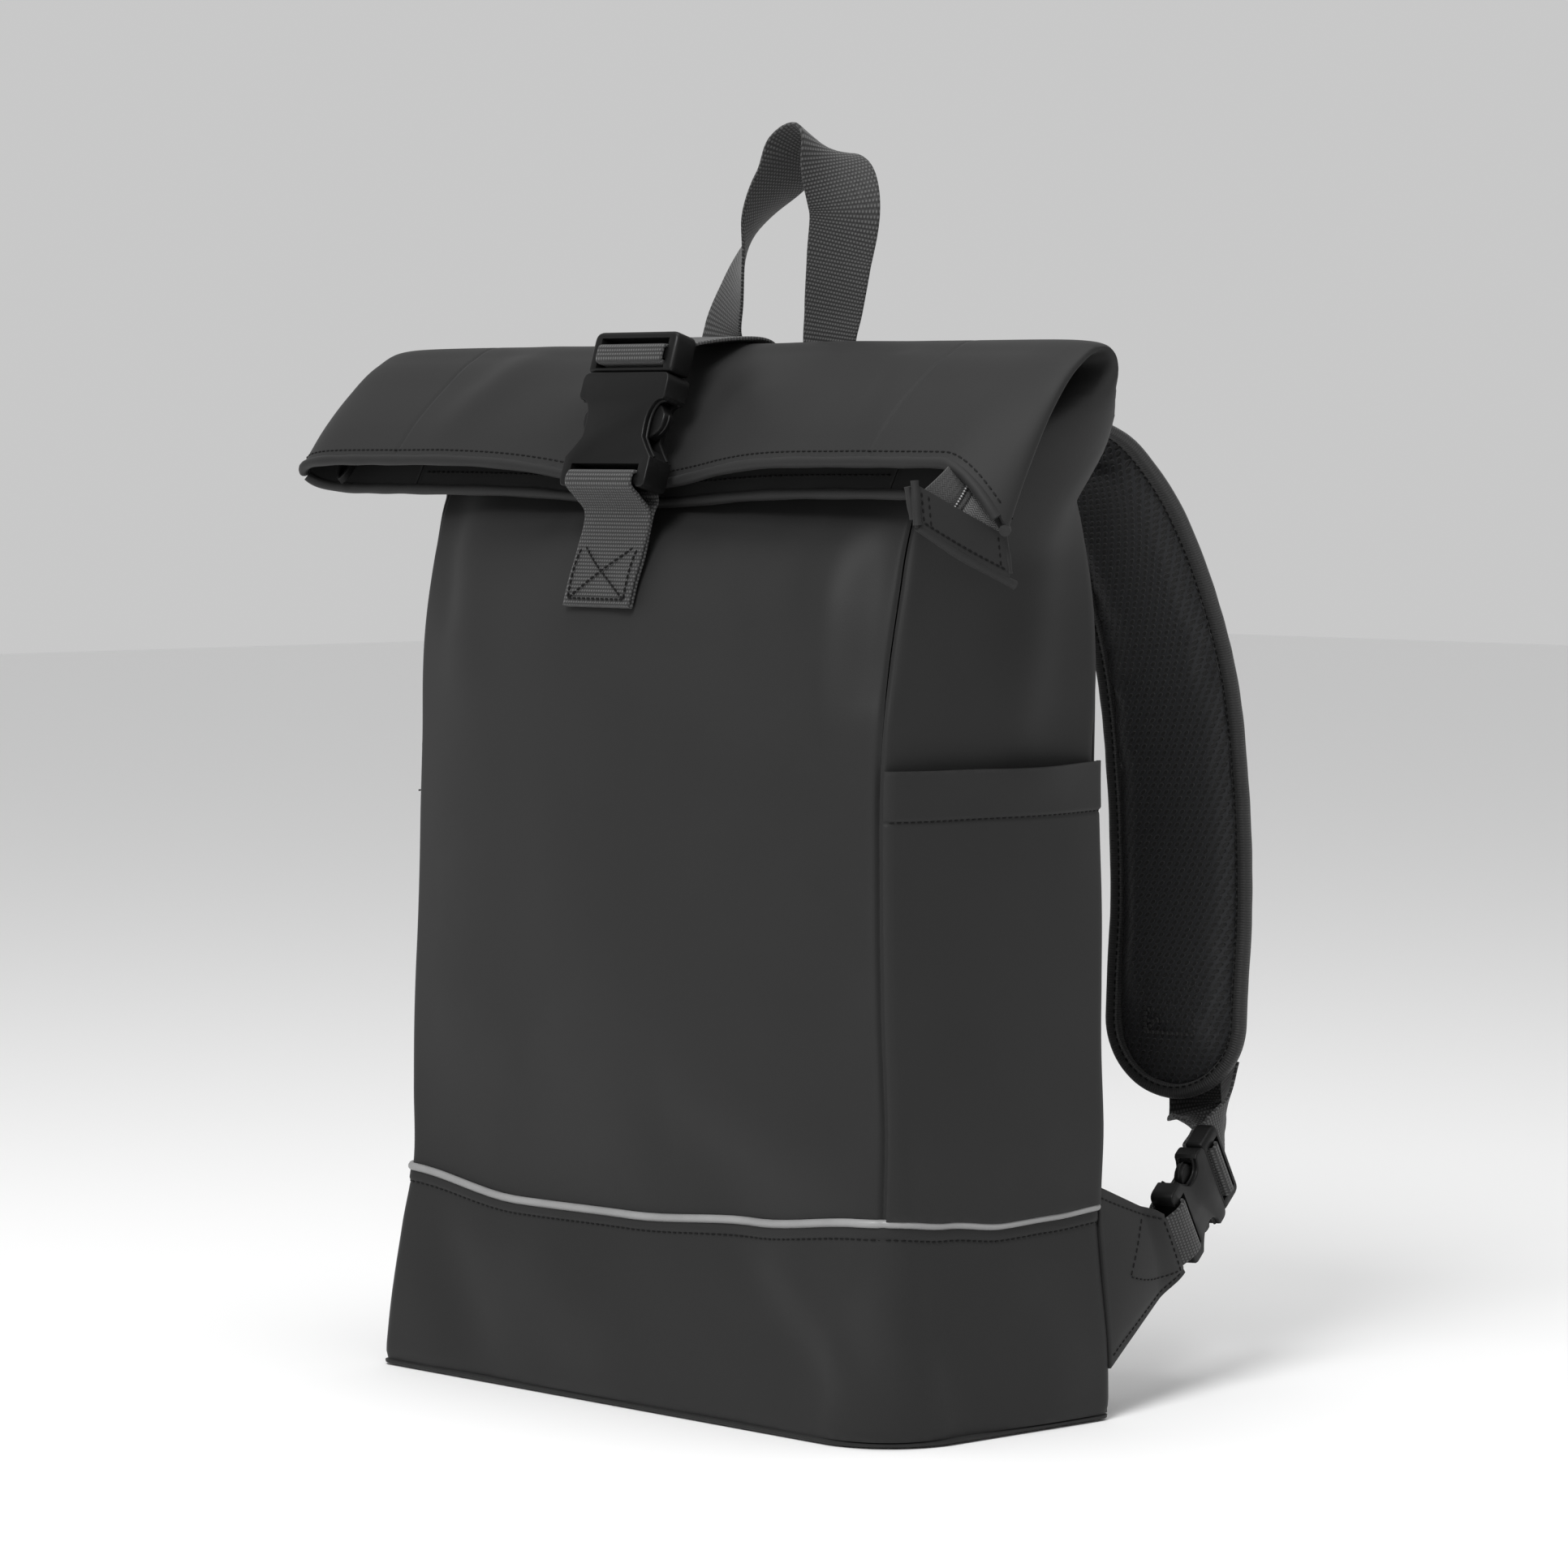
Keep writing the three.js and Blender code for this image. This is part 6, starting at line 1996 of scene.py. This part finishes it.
class Wing:
    """The coated triangle between the bag's rear corner and the lower buckle's loop.

    t runs from its root at the bag to its tip, h from its lower edge to its upper one.
    """

    def __init__(self, side, frame, facing):
        self.side = side
        tip = frame.spot(-0.0085, 0)
        edge = facing * (LOWER_WEBBING / 2 + 0.003)
        self.low_tip, self.high_tip = sorted((tip + edge, tip - edge), key=lambda spot: spot.z)
        run = (self.low_tip + self.high_tip) / 2 - self.root(0.5)
        self.normal = run.cross(Vector((0, 0, 1))).normalized()
        if self.normal.x * side < 0:
            self.normal = -self.normal

    def root(self, h):
        panel, share = ("right", 0.985) if self.side > 0 else ("left", 0.015)
        height = lerp(WING_BOTTOM, WING_TOP - 0.005, h)
        away = Vector((self.side * (WING_THICKNESS / 2 - 0.0008), WING_THICKNESS / 2 - 0.0004, 0))
        return on_bag(panel, distance_at_height(height), share) + away

    def spot(self, t, h, lift=0.0):
        flat = self.root(h).lerp(self.low_tip.lerp(self.high_tip, h), t)
        belly = math.sin(math.pi * clamp(h, 0, 1)) * math.sin(math.pi * clamp(t, 0.02, 0.98))
        pull = math.exp(-((min(h, 1 - h) / 0.06 - 1) ** 2) * 3) * smooth(t, 0, 0.2)
        over = 0.0034 * smooth(t, 0.70, 0.97)
        return flat + self.normal * (0.0024 * belly - 0.0004 * pull + over + lift)


WING_STITCHES = (
    ((0.02, 0.94), (0.93, 0.90)),
    ((0.94, 0.88), (0.95, 0.08)),
    ((0.95, 0.06), (0.03, 0.055)),
    ((0.66, 0.87), (0.32, 0.43)),
    ((0.32, 0.43), (0.93, 0.12)),
)


def add_wing(name, side, frame, facing):
    loop = [frame.spot(-0.012, -0.0016)] + round_female_bar(frame, LOWER_BUCKLE)
    loop += [frame.spot(-0.012, 0.0016)]
    lay_webbing(f"wing_loop_band_{name}", f"wing_loop_{name}", [(spot, facing) for spot in loop],
                LOWER_WEBBING)
    wing = Wing(side, frame, facing)
    rows, columns = spread(30), spread(36)
    outer = [[tuple(wing.spot(t, h, WING_THICKNESS / 2)) for t in columns] for h in rows]
    piece = sheet(f"wing_cloth_{name}", outer, lambda r, c: (c * 0.002, r * 0.002))
    ahead = piece.data.polygons[0].normal.dot(wing.normal)
    thicken(piece, WING_THICKNESS, -1.0 if ahead > 0 else 1.0)
    turn_faces_out(piece)
    round_edges(piece, 0.0009)
    finish(piece, "coated", f"wing_{name}")
    runs = []
    for (t0, h0), (t1, h1) in WING_STITCHES:
        for face in (1, -1):
            lift = face * (WING_THICKNESS / 2 + STITCH_LIFT)
            runs.append([(wing.spot(lerp(t0, t1, s), lerp(h0, h1, s), lift), wing.normal * face)
                         for s in spread(24)])
    sew(f"wing_stitches_{name}", runs, "coated")


def add_shoulder_strap(side, name):
    strap = ShoulderStrap(side)
    frame = lower_frame(side)
    add_pad(name, strap)
    add_binding(name, strap)
    add_sewn_patch(name, strap)
    add_buckle(LOWER_BUCKLE, frame, (f"lower_female_half_{name}", f"lower_female_{name}"),
               (f"lower_male_half_{name}", f"lower_male_{name}"))
    facing = add_lower_webbing(name, strap, frame)
    add_wing(name, side, frame, facing)


# The zip lies across the tube behind the mouth. side: -1 at the front layer, 0 midway, 1 at
# the back layer; clear: how far off it.
def inside_mouth(x, depth, side=0, clear=0.0):
    distance = MOUTH_ROW - depth
    at = station_at(distance)
    share = clamp((x + at["wide"]) / (2 * at["wide"]), 0, 1)
    front = on_bag("front", distance, share)
    back = on_bag("back", distance, 1 - share)
    spot = front.lerp(back, 0.5)
    if side:
        towards = (front if side < 0 else back) - spot
        spot += towards.normalized() * (towards.length - clear)
    spot.x = x
    spot.z -= sag_at(at, x)
    return spot


ZIP_START = -ZIP_LENGTH / 2 - 0.008
ZIP_END = ZIP_START + ZIP_LENGTH
COIL_DEPTH = ZIP_DEPTH - TAPE_LIFT
ACROSS_MOUTH = Vector((0, -0.7, 0.7))


def add_zip():
    # The tapes and coil inside the mouth are drawn in the zip tape's colour darkened: painted shade
    # inside the mouth.
    places = spread(90, ZIP_START, ZIP_END)
    for side, node in ((-1, "zip_tape_front"), (1, "zip_tape_back")):
        rings = []
        for x in places:
            root = inside_mouth(x, ZIP_DEPTH, side, WALL + 0.0011)
            middle = inside_mouth(x, COIL_DEPTH)
            top = middle + (root - middle).normalized() * (COIL_RADIUS * 0.6)
            rings.append([tuple(root.lerp(top, t)) for t in spread(6)])
        piece = sheet(f"{node}_cloth", rings, lambda r, c: (c * 0.0018, r * 0.0039))
        thicken(piece, 0.0007, 0.0)
        finish(piece, "zip", node, material="zip in painted shade")
    path = [inside_mouth(x, COIL_DEPTH) for x in spread(500, ZIP_START, ZIP_END)]
    coil = tube("zip_teeth", path, lambda t: COIL_RADIUS * (0.82 + 0.18 * math.cos(t * 785.4)), 8)
    finish(coil, "zip", "zip_coil", material="zip in painted shade")


# The zip's tail comes out at the right end of the mouth and hangs into its coated end tab.
TAB_CENTRE = Vector((0.2005, -0.0722, 0.3588))
TAB_ACROSS = Vector((0.26, 0.85, -0.46)).normalized()
TAB_DOWN = Vector((0.05, 0.08, -0.99)).normalized()
TAB_NORMAL = Vector((0.96, -0.26, 0.06)).normalized()
TAIL_MOUTH = (Vector((0.1860, -0.0620, 0.3870)), Vector((0.2020, -0.0540, 0.3690)))


def tail_spot(across, rise, lift=0.0):
    """A spot of the tail: across 0 to 1 from its front edge, rise 0 to 1 from the tab."""
    low = TAB_CENTRE - TAB_DOWN * (END_TAB_LENGTH / 2 - 0.003) - TAB_NORMAL * 0.0004
    low = low + TAB_ACROSS * (across - 0.5) * (END_TAB_WIDTH - 0.007)
    high = TAIL_MOUTH[0].lerp(TAIL_MOUTH[1], across)
    arch = 0.0035 * math.sin(math.pi * clamp(rise, 0, 1) * 0.75)
    dent = 0.0016 * math.exp(-(((across - 0.46) / 0.09) ** 2))
    return low.lerp(high, rise) + TAB_NORMAL * (arch - dent + lift)


def tail_tape(name, start, end):
    columns, rows = spread(14, start, end), spread(16, -0.1, 1.12)
    piece = sheet(name, [[tuple(tail_spot(a, r)) for a in columns] for r in rows],
                  lambda r, c: (c * 0.0013, r * 0.0014))
    thicken(piece, 0.0007, 0.0)
    return piece


def tab_spot(across, down, lift=0.0):
    """A spot of the tab: across and down in metres from its middle."""
    bow = 0.0010 * math.cos(across * math.pi / END_TAB_WIDTH) * (down / END_TAB_LENGTH + 0.5)
    return TAB_CENTRE + TAB_ACROSS * across + TAB_DOWN * (down + bow) + TAB_NORMAL * lift


def tab_bead(start, end, lift, radius):
    (a0, d0), (a1, d1) = start, end
    return tube("tab bead", [tab_spot(lerp(a0, a1, t), lerp(d0, d1, t), lift) for t in spread(20)],
                lambda t: radius * (1 + 0.10 * math.sin(t * 9 + a0 * 400)), 12)


def add_end_tab():
    half, long = END_TAB_WIDTH / 2, END_TAB_LENGTH / 2
    rings = []
    for down in spread(20, -long, long):
        thick = 0.0014 - 0.0004 * math.exp(-(((long - down - 0.0032) / 0.0007) ** 2))
        rings.append([tuple(tab_spot(a * half, down, f * thick)) for a, f in BAND_SECTION])
    tab = sheet("zip_end_tab_cloth", rings, lambda r, c: (0.0, 0.0))
    close_tube(tab)
    join(tab, *(tab_bead(*bead) for bead in (
        ((-half + 0.001, long - 0.0006), (half + 0.0028, long + 0.0004), 0.0002, 0.0017),
        ((-half + 0.0008, -long - 0.0012), (-half + 0.0002, long - 0.001), 0.0012, 0.0017),
        ((-half - 0.0016, -long + 0.0022), (-half - 0.0004, long - 0.003), -0.0008, 0.0014),
        ((half - 0.0006, -long - 0.0004), (half + 0.0004, long - 0.003), 0.0002, 0.0013),
    )))
    finish(tab, "coated", "zip_end_tab")
    low, high = long - 0.0036, -long + 0.0015
    lines = [((-half + 0.0036, low), (half - 0.002, low)),
             ((-half + 0.0036, high), (-half + 0.0036, low)),
             ((-half + 0.0070, high), (-half + 0.0070, low)),
             ((half - 0.0044, high), (half - 0.0044, low))]
    runs = [[(tab_spot(lerp(a0, a1, t), lerp(d0, d1, t), 0.0014), TAB_NORMAL) for t in spread(16)]
            for (a0, d0), (a1, d1) in lines]
    sew("end_tab_stitches", runs, "coated", pitch=0.0026, length=0.0018)


def add_zip_tail():
    # The tail's front half and its coil take the zip tape's colour darkened, painted shade on the
    # side turned from the light; the back half keeps the tape's own colour.
    front = tail_tape("zip_tail_front", 0.0, 0.42)
    coil = tube("zip_tail_coil", [tail_spot(0.46, r, 0.0004) for r in spread(40, -0.05, 1.1)],
                lambda t: 0.0012 * (0.85 + 0.15 * math.cos(t * 150)), 8)
    finish(join(front, coil), "zip", material="zip in painted shade")
    back = tail_tape("zip_tail_back", 0.50, 1.0)
    hem = tube("tape edge", [tail_spot(0.0, r) for r in spread(20, -0.05, 1.1)], 0.0003, 6)
    finish(join(back, hem), "zip", "zip_tail")
    # Light grey beads down the tail: painted highlights on the coil's teeth.
    clear_selection()
    bpy.ops.mesh.primitive_uv_sphere_add(segments=8, ring_count=6, radius=0.00042)
    tooth = bpy.context.object
    teeth = []
    for rise in spread(13, 0.04, 0.86):
        teeth.append(copy_of(tooth, "zip_end_teeth_highlight"))
        place = tail_spot(0.405 - 0.07 * rise, rise, 0.0007)
        teeth[-1].data.transform(Matrix.Translation(place))
    bpy.data.objects.remove(tooth)
    finish(join(*teeth), "zip", material="zip teeth painted highlight")


def add_zip_pull():
    width, thickness, length = 0.005, 0.0012, 0.017
    x = ZIP_START - width / 2 - thickness / 2 - 2 * GAP
    top = inside_mouth(x, COIL_DEPTH)
    down = (inside_mouth(x, 0) - top).normalized()
    spots = []
    for reach, side in ((0, 0.5), (0.75, 0.5), (1, 0), (0.75, -0.5), (0, -0.5)):
        spots.append((top + down * (reach * length) + Vector((side * width, 0, 0)), ACROSS_MOUTH))
    pull = webbing_band("zip_pull_loop", spots, 0.003, ribs=False, thickness=thickness)
    finish(pull, "moulded", "zip_pull")


add_buckle(FRONT_BUCKLE, FRONT_FRAME, ("front_female_half", "buckle_female"),
           ("front_male_half", "buckle_male"))
add_front_tab()
add_closure_strap()
add_grab_handle()
add_shoulder_strap(1, "right")
add_shoulder_strap(-1, "left")
add_zip()
add_zip_tail()
add_end_tab()
add_zip_pull()


# Light and floor
LIGHT_AIM = Vector((0, 0, 0.25))
LIGHTS = (
    ("key", (0.65, -1.3, 1.5), 0.8, 29),
    ("top", (0.15, -0.05, 2.4), 1.6, 16),
)
WORLD_LIGHT = 0.58
FLOOR_TONE = 0.92


def area_light(name, place, size, power):
    data = bpy.data.lights.new(name, "AREA")
    data.shape = "DISK"
    data.size = size
    data.energy = power
    light = bpy.data.objects.new(name, data)
    bpy.context.scene.collection.objects.link(light)
    light.location = place
    light.rotation_euler = (Vector(place) - LIGHT_AIM).to_track_quat("Z", "Y").to_euler()


def add_studio():
    clear_selection()
    bpy.ops.mesh.primitive_plane_add(size=14, location=(0, 0, -0.0005))
    floor = bpy.context.object
    floor.name = "studio_floor"
    material = bpy.data.materials.new("pale floor")
    material.use_nodes = True
    shader = material.node_tree.nodes["Principled BSDF"]
    shader.inputs["Base Color"].default_value = (*grey(FLOOR_TONE), 1)
    shader.inputs["Roughness"].default_value = 0.8
    floor.data.materials.append(material)
    world = bpy.data.worlds.new("studio")
    world.use_nodes = True
    sky = world.node_tree.nodes["Background"]
    sky.inputs["Color"].default_value = (*grey(1), 1)
    sky.inputs["Strength"].default_value = WORLD_LIGHT
    bpy.context.scene.world = world
    bpy.context.scene.view_settings.view_transform = "Standard"
    for name, place, size, power in LIGHTS:
        area_light(name, place, size, power)


add_studio()
